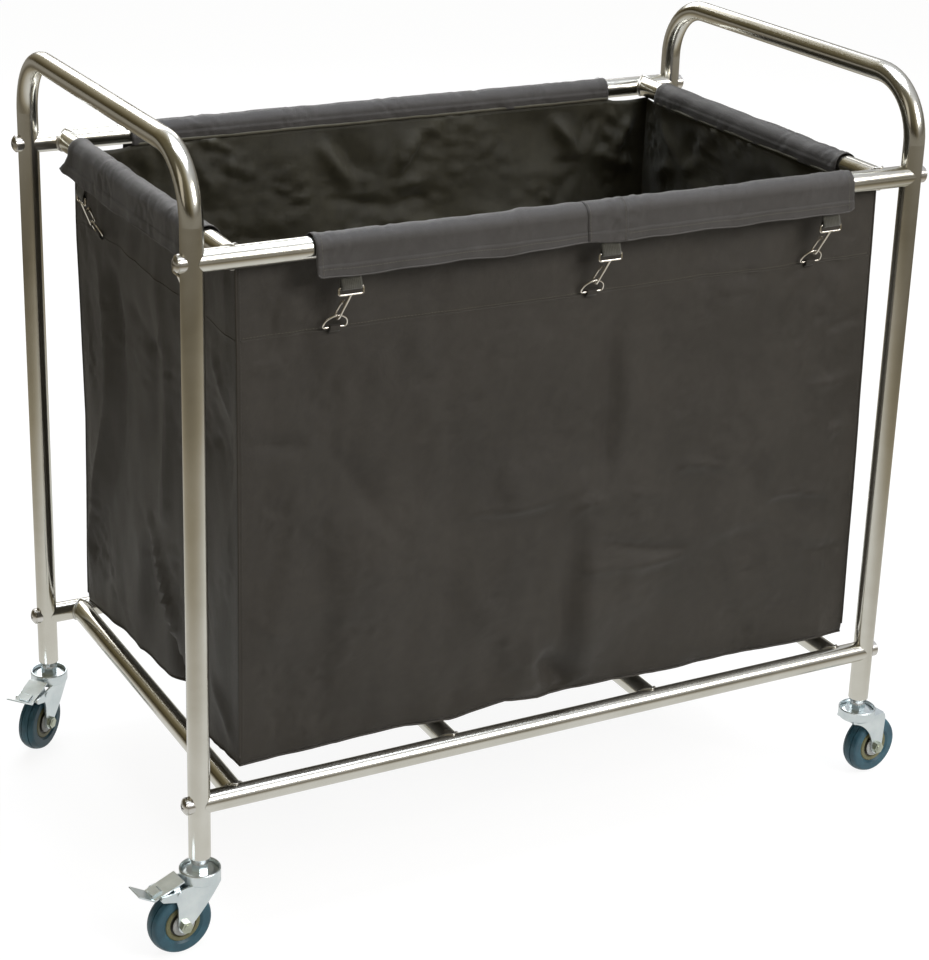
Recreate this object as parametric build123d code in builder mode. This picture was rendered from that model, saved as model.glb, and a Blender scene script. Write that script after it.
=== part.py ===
from build123d import *
import os
from math import atan2, cos, radians, sin

# Laundry cart. Origin on the floor under the middle of the frame, +X from the left hoop to the
# right hoop, +Y to the rear, +Z up. Every size is in millimetres.

# ---------------------------------------------------------------- frame
tube_r = 12.5            # every frame tube
tube_wall = 1.2
leg_x = 452.5            # half of the spacing of the two end hoops
leg_y = 262.5            # half of the spacing of a hoop's two legs
leg_bottom_z = 112
handle_z = 910           # middle of the push handle
hoop_bend_r = 72
top_rail_z = 800
bottom_rail_z = 178
side_tube_x = 408        # tubes welded between the long rails, just inside the hoops
inner_cross_x = 136      # the two tubes between them under the bag
fit_gap = 0.1             # between parts that are fitted together
saddle_gap = 0.2         # between a tube's saddled end and the tube it meets

screw_r = 3
screw_hole_r = 3.3
screw_head_r = 9
screw_head_h = 4.2
recess_width = 1.7
recess_length = 9
recess_depth = 2.2
washer_r = 10
washer_seat = 16.2       # leg centre to the washer's flat face
washer_skirt = 7.8       # leg centre to the washer's hollow rim
plug_length = 30
plug_start = 14.5        # leg centre to the near end of the nut plug in a rail

# ---------------------------------------------------------------- bag
cloth = 1.2
floor_z = 195.8
wall_levels = [197, 450, 685, 786]                 # heights where the walls' place is stated
wall_front_y = [-240, -246, -251.5, -248.6]
wall_rear_y = [246, 247, 251.5, 248.6]
wall_left_x = [-396, -395.5, -397, -394.1]
wall_right_x = [428, 410, 396.5, 394.1]
front_panel_x = [(-395, 433), (-397, 424), (-400, 414), (-400, 414)]
rear_panel_x = [(-402, 425), (-397, 418), (-400, 410), (-400, 410)]

sleeve_inner_r = 12.8
sleeve_inner_drop = 13
sleeve_outer_drop = 28
front_sleeve_x = (-322, 360)
rear_sleeve_x = (-328, 347)
left_sleeve_y = (-195, 203)
right_sleeve_y = (-195, 204)
front_clip_x = [-282, 33, 330]
rear_clip_x = [-290, 12, 318]
left_clip_y = [160, -148]
right_clip_y = [-150, 140]

# ---------------------------------------------------------------- clips: webbing, snap hook, D-ring
# A clip's frame has x along the rail, y up and z outwards, from the middle of the rail's tube.
webbing_w = 24
webbing_t = 1.3
webbing_top_y = -16
loop_y = -42.5           # height of the hook's eye bar in the webbing loop
loop_z = 15.4
loop_outer_r = 2.9
loop_inner_r = 1.7
wire_r = 1.3
eye_w = 28.6
eye_drop = 8
shank_r = 1.5
shank_end = (-7.3, -79, 2.7)
nose_lean = (-0.34, 0, -0.94)
jaw_r = 3.4              # bend of the hook's jaw, to the wire's middle
nose_length = 3.4
gate_top = 14            # along the shank, from the eye to the gate's pivot
gate_off = 6.2           # across the shank, to the gate's pivot
gate_wire_r = 1.1
gate_pin_r = 0.7
gate_pin_half = 1.7
gate_gap = 0.1
gate_ear_length = 4.4     # the gate's flattened end, below its pivot
gate_wire_start = 3.4     # along the gate, from its pivot
gate_past_nose = 0.5
gate_eye_clearance = 0.9  # round the hook's lug
eye_bend_r = 2.4
lug_half = 0.7
lug_r = 1.5
ring_wire_r = 1.15
ring_w = 28
ring_drop = 17
ring_lean = 28           # degrees that a D-ring leans out from the wall
ring_corner_r = 3
ring_bow_r = ring_w / 2 - 0.2
wall_out = -11           # bag wall at the height of the D-rings
ring_tab_length = 7
ring_tab_r = 2.5
ring_tab_hole_r = 1.4

# ---------------------------------------------------------------- casters
# A caster's frame has x along its trail, y along its axle and z up, from the floor below its stem.
wheel_r = 38
trail = 27
caster_angle = {"front_left": 186.4, "rear_left": 220.4, "front_right": 7.7, "rear_right": -21.0}
braked = ("front_left", "rear_left")
core_r = 21.6             # rim under the tread
guard_r = 13.8            # thread guard's edge, with a groove outside it
groove_edge_r = 15.6
core_bore_r = 4.08
hub_r = 8
hub_half_w = 13.1
guard_half_w = 12.4
groove_floor_half_w = 8.2
core_half_w = 9.8
edge_bevel = 1
running_gap = 0.05
tread_half_w = 10.8
tread_bevel = 3
tread_shoulder = 5
groove_y = 4.6
groove_w = 1.0
groove_depth = 0.8
axle_r = 4
axle_hex = 13            # across flats
axle_end = 21
axle_tip = 0.6            # bolt showing past the nut
fork_in = 13.6
fork_t = 2.4
fork_lug_r = 8.5
crown_z = 84
crown_t = 2.4
crown_hole_r = 5.4
crown_front = -17
crown_rear = {True: 20, False: 35}                    # with and without a brake
crown_corner_r = 2.5
fork_toe = (-18, 83)                                  # trail plane: along the trail, height
fork_waist = {True: (0, 58), False: (7, 67)}
brake_arm = [(35.5, 64), (37.5, 72), (54, 76.5), (57, 80), (55, 83), (24, 86.4)]
plain_arm = [(37.5, 78), (36, 84), (32, 86.4)]
head_r = 23.5
head_wall = 2.2
head_top_z = 98
head_bevel = 2
head_lip = 0.8
ball_r = 2.4
ball_ring_r = 16
ball_count = 12
race_r = 20.4
race_z = 91.4
race_edge_t = 1.8
race_t = 3.2
race_bevel = 5
stem_r = 4.8
stem_top_z = 150
stem_hex = 17
stem_hex_z = (94.8, 103.5)
rivet_r = 7.5
rivet_z = (80.6, 83.7)
socket_r = 11.2
socket_neck_r = 9.4
socket_neck_edge = 2
socket_neck_z = 103.7
socket_top_z = 152

pedal_t = 1.8
pedal_half_w = 12.9
pedal_path = [(26.5, 93), (63, 80), (81, 91)]
pedal_pivot = (33, 80.5)
pedal_pin_r = 2
pedal_ear_t = 1.6
pedal_ear_r = 3.6
pin_head_r = 3.4
pin_head_t = 1.0
pin_play = 0.15
raised_tab = [(24, 0), (38, 0), (37, 3.2), (27, 3.2)]    # along the pedal from its inner end, above it
raised_tab_half_w = 6.5
brake_shoe = [(15, 0), (29, 0), (27, -10), (18, -10)]
brake_shoe_half_w = 8

os.makedirs("parts", exist_ok=True)


def keep(piece, name):
    """Labels a finished piece and writes its file."""
    piece.part.label = name
    export_step(piece.part, f"parts/{name}.step")


def profile_plane(axis_plane):
    """The plane through an axis plane's normal: x is the radius and y runs along the axis."""
    side = axis_plane.x_dir.cross(axis_plane.z_dir)
    return Plane(origin=axis_plane.origin, x_dir=axis_plane.x_dir, z_dir=side)


def turned(axis_plane):
    return Axis(axis_plane.origin, axis_plane.z_dir)


def direction(frame_plane, vector):
    """A vector given in a plane's own axes, in the cart's axes."""
    x, y, z = vector
    return frame_plane.x_dir * x + frame_plane.y_dir * y + frame_plane.z_dir * z


# ================================================================ frame tubes
def end_hoop(x):
    """One bent tube: front leg, push handle and rear leg, drilled for the rail screws."""
    with BuildPart() as hoop:
        with BuildLine(Plane.YZ.offset(x)) as path:
            FilletPolyline(
                (-leg_y, leg_bottom_z),
                (-leg_y, handle_z),
                (leg_y, handle_z),
                (leg_y, leg_bottom_z),
                radius=hoop_bend_r,
            )
        with BuildSketch(Plane(origin=path.line @ 0, z_dir=path.line % 0)):
            Circle(tube_r)
            Circle(tube_r - tube_wall, mode=Mode.SUBTRACT)
        sweep()
        for y in (-leg_y, leg_y):
            for z in (top_rail_z, bottom_rail_z):
                with BuildSketch(Plane(origin=(x, y, z), z_dir=(1, 0, 0))):
                    Circle(screw_hole_r)
                extrude(amount=2 * tube_r, both=True, mode=Mode.SUBTRACT)
    return hoop


def tube_between(start_plane, length, met_axes):
    """A straight tube from start_plane, its ends saddled round the tubes whose planes are given."""
    with BuildPart() as tube:
        with BuildSketch(start_plane):
            Circle(tube_r)
            Circle(tube_r - tube_wall, mode=Mode.SUBTRACT)
        extrude(amount=length)
        for met in met_axes:
            with BuildSketch(met):
                Circle(tube_r + saddle_gap)
            extrude(amount=2 * tube_r, both=True, mode=Mode.SUBTRACT)
    return tube


def long_rail(y, z):
    start = Plane(origin=(-leg_x, y, z), z_dir=(1, 0, 0))
    legs = [Plane(origin=(x, y, z), z_dir=(0, 0, 1)) for x in (-leg_x, leg_x)]
    return tube_between(start, 2 * leg_x, legs)


def cross_tube(x, z):
    start = Plane(origin=(x, -leg_y, z), z_dir=(0, 1, 0))
    rails = [Plane(origin=(x, y, z), z_dir=(1, 0, 0)) for y in (-leg_y, leg_y)]
    return tube_between(start, 2 * leg_y, rails)


keep(end_hoop(-leg_x), "left_end_hoop")
keep(end_hoop(leg_x), "right_end_hoop")
for end, y in (("front", -leg_y), ("rear", leg_y)):
    keep(long_rail(y, top_rail_z), f"{end}_top_rail")
    keep(long_rail(y, bottom_rail_z), f"{end}_bottom_rail")
keep(cross_tube(-side_tube_x, top_rail_z), "left_top_tube")
keep(cross_tube(side_tube_x, top_rail_z), "right_top_tube")
bottom_tubes = {
    "left_bottom_tube": -side_tube_x,
    "left_middle_bottom_tube": -inner_cross_x,
    "right_middle_bottom_tube": inner_cross_x,
    "right_bottom_tube": side_tube_x,
}
for name, x in bottom_tubes.items():
    keep(cross_tube(x, bottom_rail_z), name)

# ================================================================ rail screws
# Each screw goes from outside through a saddle washer and a leg into a nut plug in the rail's end.
screw_planes = [
    Plane(origin=(side * leg_x, y, z), x_dir=(0, 0, 1), z_dir=(side, 0, 0))
    for side in (-1, 1)
    for y in (-leg_y, leg_y)
    for z in (top_rail_z, bottom_rail_z)
]

with BuildPart() as rail_screws:
    for seat in screw_planes:
        with BuildSketch(seat.offset(-plug_start - plug_length)):
            Circle(screw_r)
        extrude(amount=plug_start + plug_length + washer_seat)
        with BuildSketch(profile_plane(seat)):
            with BuildLine():
                foot = (0, washer_seat)
                rim = (screw_head_r, washer_seat)
                shoulder = (screw_head_r, washer_seat + 1)
                crown = (0, washer_seat + screw_head_h)
                dome = (0.62 * screw_head_r, washer_seat + 0.82 * screw_head_h)
                Polyline(crown, foot, rim, shoulder)
                ThreePointArc(shoulder, dome, crown)
            make_face()
        revolve(axis=turned(seat))
        with BuildSketch(seat.offset(washer_seat + screw_head_h - recess_depth)):
            Rectangle(recess_length, recess_width)
            Rectangle(recess_width, recess_length)
        extrude(amount=2 * recess_depth, mode=Mode.SUBTRACT)
keep(rail_screws, "rail_screws")

with BuildPart() as saddle_washers:
    for seat in screw_planes:
        with BuildSketch(seat.offset(washer_skirt)):
            Circle(washer_r)
            Circle(screw_hole_r, mode=Mode.SUBTRACT)
        extrude(amount=washer_seat - washer_skirt)
    for side in (-1, 1):
        for y in (-leg_y, leg_y):
            with BuildSketch(Plane.XY.offset(leg_bottom_z)):
                with Locations((side * leg_x, y)):
                    Circle(tube_r + running_gap)
            extrude(amount=handle_z - leg_bottom_z, mode=Mode.SUBTRACT)
keep(saddle_washers, "saddle_washers")

with BuildPart() as rail_end_plugs:
    for seat in screw_planes:
        with BuildSketch(seat.offset(-plug_start - plug_length)):
            Circle(tube_r - tube_wall - fit_gap)
            Circle(screw_r + running_gap, mode=Mode.SUBTRACT)
        extrude(amount=plug_length)
keep(rail_end_plugs, "rail_end_plugs")

# ================================================================ bag: five sewn panels
def long_panel(wall_y, panel_x, inward):
    """The front or rear wall, lofted upwards; its outer face is at wall_y."""
    with BuildPart() as panel:
        for z, y, (x0, x1) in zip(wall_levels, wall_y, panel_x):
            with BuildSketch(Plane.XY.offset(z)):
                with Locations(((x0 + x1) / 2, y + inward * cloth / 2)):
                    Rectangle(x1 - x0, cloth)
        loft(ruled=True)
    return panel


def side_panel(wall_x, inward):
    """The left or right wall, between the front wall and the rear wall."""
    with BuildPart() as panel:
        for z, x, y0, y1 in zip(wall_levels, wall_x, wall_front_y, wall_rear_y):
            with BuildSketch(Plane.XY.offset(z)):
                with Locations((x + inward * cloth / 2, (y0 + y1) / 2)):
                    Rectangle(cloth, y1 - y0 - 2 * cloth - saddle_gap)
        loft(ruled=True)
    return panel


keep(long_panel(wall_front_y, front_panel_x, 1), "bag_front_panel")
keep(long_panel(wall_rear_y, rear_panel_x, -1), "bag_rear_panel")
keep(side_panel(wall_left_x, 1), "bag_left_panel")
keep(side_panel(wall_right_x, -1), "bag_right_panel")

with BuildPart() as bag_floor_panel:
    with BuildSketch(Plane.XY.offset(floor_z)):
        with BuildLine():
            Polyline(
                (front_panel_x[0][0], wall_front_y[0]),
                (front_panel_x[0][1], wall_front_y[0]),
                (rear_panel_x[0][1], wall_rear_y[0]),
                (rear_panel_x[0][0], wall_rear_y[0]),
                close=True,
            )
        make_face()
    extrude(amount=cloth)
keep(bag_floor_panel, "bag_floor_panel")


# ================================================================ sleeves over the top tubes
def sleeve(middle, outward, length):
    """The cloth goes up inside the tube, over it, and hangs outside as a flap."""
    across = Plane(origin=middle, x_dir=outward, z_dir=Vector(outward).cross(Vector(0, 0, 1)))
    outer_r = sleeve_inner_r + cloth
    wall_mid = sleeve_inner_r + cloth / 2
    with BuildPart() as wrap:
        with BuildSketch(across):
            with Locations((0, outer_r / 2)):
                Rectangle(2 * outer_r, outer_r)
            Circle(outer_r, mode=Mode.INTERSECT)
            Circle(sleeve_inner_r, mode=Mode.SUBTRACT)
            with Locations((-wall_mid, -sleeve_inner_drop / 2)):
                Rectangle(cloth, sleeve_inner_drop)
            with Locations((wall_mid, -sleeve_outer_drop / 2)):
                Rectangle(cloth, sleeve_outer_drop)
        extrude(amount=length / 2, both=True)
    return wrap


def middle_of(span):
    return (span[0] + span[1]) / 2


for name, y, outward, span in (
    ("front_sleeve", -leg_y, (0, -1, 0), front_sleeve_x),
    ("rear_sleeve", leg_y, (0, 1, 0), rear_sleeve_x),
):
    keep(sleeve((middle_of(span), y, top_rail_z), outward, span[1] - span[0]), name)
for name, x, outward, span in (
    ("left_sleeve", -side_tube_x, (-1, 0, 0), left_sleeve_y),
    ("right_sleeve", side_tube_x, (1, 0, 0), right_sleeve_y),
):
    keep(sleeve((x, middle_of(span), top_rail_z), outward, span[1] - span[0]), name)

# ================================================================ clips
clip_planes = (
    [Plane(origin=(x, -leg_y, top_rail_z), x_dir=(1, 0, 0), z_dir=(0, -1, 0)) for x in front_clip_x]
    + [Plane(origin=(x, leg_y, top_rail_z), x_dir=(-1, 0, 0), z_dir=(0, 1, 0)) for x in rear_clip_x]
    + [Plane(origin=(-side_tube_x, y, top_rail_z), x_dir=(0, -1, 0), z_dir=(-1, 0, 0))
       for y in left_clip_y]
    + [Plane(origin=(side_tube_x, y, top_rail_z), x_dir=(0, 1, 0), z_dir=(1, 0, 0))
       for y in right_clip_y]
)
clip_names = [
    f"{side}_hook_gate_{number}"
    for side, places in (
        ("front", front_clip_x),
        ("rear", rear_clip_x),
        ("left", left_clip_y),
        ("right", right_clip_y),
    )
    for number in range(1, len(places) + 1)
]
eye_bar = Vector(0, loop_y - eye_drop, loop_z)
shank_down = (Vector(shank_end) - eye_bar).normalized()
shank_length = (Vector(shank_end) - eye_bar).length
lean = Vector(nose_lean)
nose_dir = (lean - shank_down * lean.dot(shank_down)).normalized()


def hook_plane(clip):
    """The plane of a hook's jaw: x towards its nose, y up the shank, from the eye's lower bar."""
    nose = direction(clip, tuple(nose_dir))
    up = direction(clip, tuple(shank_down * -1))
    return Plane(
        origin=clip.from_local_coords(tuple(eye_bar)), x_dir=nose, z_dir=nose.cross(up)
    )


def ring_plane(clip):
    """The plane of a D-ring: x along the rail, y up towards the hook, from the ring's apex."""
    apex = hook_plane(clip).from_local_coords((jaw_r, -shank_length, 0))
    up = direction(clip, (0, cos(radians(ring_lean)), sin(radians(ring_lean))))
    return Plane(origin=apex, x_dir=clip.x_dir, z_dir=clip.x_dir.cross(up))


def across_plane(clip):
    """The plane square to the rail: x outwards and y up, from the middle of the clip."""
    return Plane(origin=clip.origin, x_dir=clip.z_dir, z_dir=clip.z_dir.cross(clip.y_dir))


with BuildPart() as webbing_loops:
    for clip in clip_planes:
        base_bar = clip.to_local_coords(ring_plane(clip).from_local_coords((0, -ring_drop, 0)))
        tab_shift = clip.x_dir * base_bar.X
        with BuildSketch(across_plane(clip)):
            with Locations((loop_z, loop_y)):
                Circle(loop_outer_r)
            strap_foot = loop_y + loop_inner_r
            with Locations((loop_z, (webbing_top_y + strap_foot) / 2)):
                Rectangle(webbing_t, webbing_top_y - strap_foot)
            with Locations((loop_z, loop_y)):
                Circle(loop_inner_r, mode=Mode.SUBTRACT)
        extrude(amount=webbing_w / 2, both=True)
        tab_plane = across_plane(clip)
        tab_plane.origin = tab_plane.origin + tab_shift
        with BuildSketch(tab_plane):
            with Locations((base_bar.Z, base_bar.Y)):
                Circle(ring_tab_r)
            with Locations((wall_out + fit_gap + webbing_t / 2, base_bar.Y - ring_tab_length / 2)):
                Rectangle(webbing_t, ring_tab_length)
            with Locations((base_bar.Z, base_bar.Y)):
                Circle(ring_tab_hole_r, mode=Mode.SUBTRACT)
        extrude(amount=webbing_w / 2 - ring_corner_r, both=True)
keep(webbing_loops, "webbing_loops")

with BuildPart() as d_rings:
    for clip in clip_planes:
        with BuildLine(ring_plane(clip)) as ring_path:
            FilletPolyline(
                (-ring_w / 2, -ring_drop),
                (ring_w / 2, -ring_drop),
                (ring_w / 2, 0),
                (-ring_w / 2, 0),
                radius=[ring_corner_r, ring_corner_r, ring_bow_r, ring_bow_r],
                close=True,
            )
        with BuildSketch(Plane(origin=ring_path.line @ 0, z_dir=ring_path.line % 0)):
            Circle(ring_wire_r)
        sweep(path=ring_path.line)
keep(d_rings, "d_rings")

with BuildPart() as snap_hooks:
    for clip in clip_planes:
        eye_plane = Plane(
            origin=clip.from_local_coords(tuple(eye_bar)), x_dir=clip.x_dir, z_dir=clip.z_dir
        )
        with BuildLine(eye_plane) as eye_path:
            FilletPolyline(
                (-eye_w / 2, 0),
                (eye_w / 2, 0),
                (eye_w / 2, eye_drop),
                (-eye_w / 2, eye_drop),
                radius=eye_bend_r,
                close=True,
            )
        with BuildSketch(Plane(origin=eye_path.line @ 0, z_dir=eye_path.line % 0)):
            Circle(wire_r)
        sweep(path=eye_path.line)
        jaw = hook_plane(clip)
        with BuildSketch(Plane(origin=jaw.origin, z_dir=jaw.y_dir * -1)):
            Circle(shank_r)
        extrude(amount=gate_top + 2 * lug_r)
        with BuildLine(jaw) as jaw_path:
            Line((0, 0), (0, -shank_length))
            ThreePointArc((0, -shank_length), (jaw_r, -shank_length - jaw_r), (2 * jaw_r, -shank_length))
            Line((2 * jaw_r, -shank_length), (2 * jaw_r, -shank_length + nose_length))
        with BuildSketch(Plane(origin=jaw_path.line @ 0, z_dir=jaw_path.line % 0)):
            Circle(wire_r)
        sweep(path=jaw_path.line)
        with BuildSketch(jaw):
            with Locations((gate_off / 2, -gate_top)):
                Rectangle(gate_off, 2 * lug_r)
            with Locations((gate_off, -gate_top)):
                Circle(lug_r)
        extrude(amount=lug_half, both=True)
        with BuildSketch(jaw):
            with Locations((gate_off, -gate_top)):
                Circle(gate_pin_r)
        extrude(amount=gate_pin_half, both=True)
keep(snap_hooks, "snap_hooks")


def hook_gate(clip):
    """The sprung gate: two ears on the pivot pin and a wire down to the hook's nose."""
    jaw = hook_plane(clip)
    tip = Vector(2 * jaw_r, -shank_length + nose_length + gate_past_nose, 0)
    pivot = Vector(gate_off, -gate_top, 0)
    reach = (tip - pivot).length
    down = direction(jaw, tuple((tip - pivot).normalized()))
    with BuildPart() as gate:
        with BuildSketch(jaw):
            with Locations((gate_off, -gate_top)):
                Circle(gate_pin_r + gate_wire_r)
            with Locations((gate_off, -gate_top - gate_ear_length / 2)):
                Rectangle(2 * gate_wire_r, gate_ear_length)
        extrude(amount=gate_pin_half, both=True)
        with BuildSketch(jaw):
            with Locations((gate_off, -gate_top)):
                Circle(lug_r + gate_eye_clearance)
        extrude(amount=lug_half + gate_gap, both=True, mode=Mode.SUBTRACT)
        wire_start = jaw.from_local_coords(tuple(pivot)) + down * gate_wire_start
        with BuildSketch(Plane(origin=wire_start, z_dir=down)):
            Circle(gate_wire_r)
        extrude(amount=reach - gate_wire_start)
        with BuildSketch(jaw):
            with Locations((gate_off, -gate_top)):
                Circle(gate_pin_r + gate_gap)
        extrude(amount=2 * gate_pin_half, both=True, mode=Mode.SUBTRACT)
    return gate


for name, clip in zip(clip_names, clip_planes):
    keep(hook_gate(clip), name)

# ================================================================ casters
corners = {
    "front_left": (-leg_x, -leg_y),
    "rear_left": (-leg_x, leg_y),
    "front_right": (leg_x, -leg_y),
    "rear_right": (leg_x, leg_y),
}
swivels = {
    corner: Plane(
        origin=(x, y, 0),
        x_dir=(cos(radians(caster_angle[corner])), sin(radians(caster_angle[corner])), 0),
        z_dir=(0, 0, 1),
    )
    for corner, (x, y) in corners.items()
}


def axle_plane(swivel):
    return Plane(
        origin=swivel.from_local_coords((trail, 0, wheel_r)), x_dir=swivel.x_dir, z_dir=swivel.y_dir
    )


def trail_plane(swivel):
    """The upright plane along a caster's trail: x along the trail and y up."""
    return Plane(origin=swivel.origin, x_dir=swivel.x_dir, z_dir=swivel.y_dir * -1)


with BuildPart() as leg_sockets:
    for swivel in swivels.values():
        with BuildSketch(profile_plane(swivel)):
            with BuildLine():
                Polyline(
                    (stem_r + fit_gap, socket_neck_z),
                    (socket_neck_r, socket_neck_z),
                    (socket_neck_r, socket_neck_z + socket_neck_edge),
                    (tube_r - 2 * fit_gap, leg_bottom_z - fit_gap),
                    (socket_r, leg_bottom_z - fit_gap),
                    (socket_r, socket_top_z),
                    (stem_r + fit_gap, socket_top_z),
                    close=True,
                )
            make_face()
        revolve(axis=turned(swivel))
keep(leg_sockets, "leg_sockets")

with BuildPart() as caster_stems:
    for swivel in swivels.values():
        with BuildSketch(swivel.offset(rivet_z[0])):
            Circle(rivet_r)
        extrude(amount=rivet_z[1] - rivet_z[0])
        with BuildSketch(swivel.offset(rivet_z[0])):
            Circle(stem_r)
        extrude(amount=stem_top_z - rivet_z[0])
        with BuildSketch(swivel.offset(stem_hex_z[0])):
            RegularPolygon(stem_hex / 2, 6, major_radius=False)
        extrude(amount=stem_hex_z[1] - stem_hex_z[0])
keep(caster_stems, "caster_stems")

with BuildPart() as upper_races:
    for swivel in swivels.values():
        with BuildSketch(profile_plane(swivel)):
            with BuildLine():
                Polyline(
                    (stem_r + running_gap, race_z),
                    (race_r, race_z),
                    (race_r, race_z + race_edge_t),
                    (race_r - race_bevel, race_z + race_t),
                    (stem_r + running_gap, race_z + race_t),
                    close=True,
                )
            make_face()
        revolve(axis=turned(swivel))
keep(upper_races, "upper_races")

with BuildPart() as swivel_balls:
    for swivel in swivels.values():
        ball_middle = swivel.offset(crown_z + crown_t + fit_gap + ball_r)
        with Locations(ball_middle):
            with PolarLocations(ball_ring_r, ball_count):
                Sphere(ball_r)
keep(swivel_balls, "swivel_balls")


def fork_side_outline(has_brake):
    """Outline of a fork's side plate, in the trail plane."""
    lug_front = (trail - fork_lug_r, wheel_r)
    lug_foot = (trail, wheel_r - fork_lug_r)
    lug_rear = (trail + fork_lug_r, wheel_r)
    arm = brake_arm if has_brake else plain_arm
    toe_top = (fork_toe[0], crown_z + crown_t)
    with BuildLine() as outline:
        ThreePointArc(fork_toe, fork_waist[has_brake], lug_front)
        ThreePointArc(lug_front, lug_foot, lug_rear)
        Polyline(lug_rear, *arm, toe_top, fork_toe)
    return outline


def head_profile():
    """Half section of the head dish: radius and height."""
    bore = head_r - head_wall
    return [
        (crown_hole_r, crown_z),
        (head_r - head_bevel, crown_z),
        (head_r, crown_z + head_bevel),
        (head_r, head_top_z - head_lip),
        (head_r - head_lip, head_top_z),
        (bore + head_lip / 2, head_top_z),
        (bore, head_top_z - head_lip),
        (bore, crown_z + crown_t),
        (crown_hole_r, crown_z + crown_t),
    ]


def caster_fork(swivel, has_brake):
    """The stamped fork: a round head dish, the crown plate and two side plates."""
    side = trail_plane(swivel)
    rear = crown_rear[has_brake]
    with BuildPart() as fork:
        with BuildSketch(profile_plane(swivel)):
            with BuildLine():
                Polyline(*head_profile(), close=True)
            make_face()
        revolve(axis=turned(swivel))
        with BuildSketch(swivel.offset(crown_z)):
            with Locations(((crown_front + rear) / 2, 0)):
                RectangleRounded(rear - crown_front, 2 * (fork_in + fork_t), crown_corner_r)
            Circle(head_r - head_bevel, mode=Mode.SUBTRACT)
        extrude(amount=crown_t)
        outline = fork_side_outline(has_brake)
        for inner in (fork_in, -fork_in - fork_t):
            with BuildSketch(side.offset(inner)):
                with BuildLine():
                    add(outline.line)
                make_face()
                with Locations((trail, wheel_r)):
                    Circle(axle_r + fit_gap, mode=Mode.SUBTRACT)
                if has_brake:
                    with Locations(pedal_pivot):
                        Circle(pedal_pin_r + fit_gap, mode=Mode.SUBTRACT)
            extrude(amount=fork_t)
        with BuildSketch(swivel.offset(crown_z + crown_t)):
            Circle(head_r - head_wall)
        extrude(amount=head_top_z - crown_z, mode=Mode.SUBTRACT)
        with BuildSketch(swivel.offset(crown_z)):
            Circle(crown_hole_r)
        extrude(amount=crown_t, mode=Mode.SUBTRACT)
    return fork


def axle_bolt(swivel):
    """The axle: a bolt with a hexagon head at one end and a nut at the other."""
    axle = axle_plane(swivel)
    hex_start = fork_in + fork_t + fit_gap
    with BuildPart() as bolt:
        with BuildSketch(axle):
            Circle(axle_r)
        extrude(amount=axle_end, both=True)
        for end in (hex_start, -axle_end + axle_tip):
            with BuildSketch(axle.offset(end)):
                RegularPolygon(axle_hex / 2, 6, major_radius=False)
            extrude(amount=axle_end - axle_tip - hex_start)
    return bolt


def wheel_core(swivel):
    """The wheel's moulded core: hub, thread guards and the rim under the tread."""
    axle = axle_plane(swivel)
    half = [
        (core_bore_r, hub_half_w),
        (hub_r, hub_half_w),
        (guard_r - edge_bevel, guard_half_w),
        (guard_r, guard_half_w - edge_bevel),
        (guard_r, groove_floor_half_w),
        (groove_edge_r, groove_floor_half_w),
        (groove_edge_r + edge_bevel, core_half_w),
        (core_r - edge_bevel, core_half_w),
        (core_r, core_half_w - edge_bevel),
    ]
    with BuildPart() as core:
        with BuildSketch(profile_plane(axle)):
            with BuildLine():
                Polyline(*half, *[(r, -y) for r, y in reversed(half)], close=True)
            make_face()
        revolve(axis=turned(axle))
    return core


def wheel_tread(swivel):
    """The rubber tread: crowned, with two shallow grooves."""
    axle = axle_plane(swivel)
    bore = core_r + running_gap
    bore_half_w = core_half_w - edge_bevel
    shoulder = (wheel_r - tread_bevel, tread_half_w - edge_bevel)
    half = [
        (bore, bore_half_w),
        (bore + tread_bevel, tread_half_w),
        (wheel_r - tread_shoulder, tread_half_w),
        shoulder,
    ]
    mirrored = [(r, -y) for r, y in half]
    with BuildPart() as tread:
        with BuildSketch(profile_plane(axle)):
            with BuildLine():
                Polyline(*mirrored)
                ThreePointArc(mirrored[-1], (wheel_r, 0), shoulder)
                Polyline(*reversed(half), mirrored[0])
            make_face()
            with Locations((wheel_r, groove_y), (wheel_r, -groove_y)):
                Rectangle(4 * groove_depth, groove_w, mode=Mode.SUBTRACT)
        revolve(axis=turned(axle))
    return tread


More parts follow.
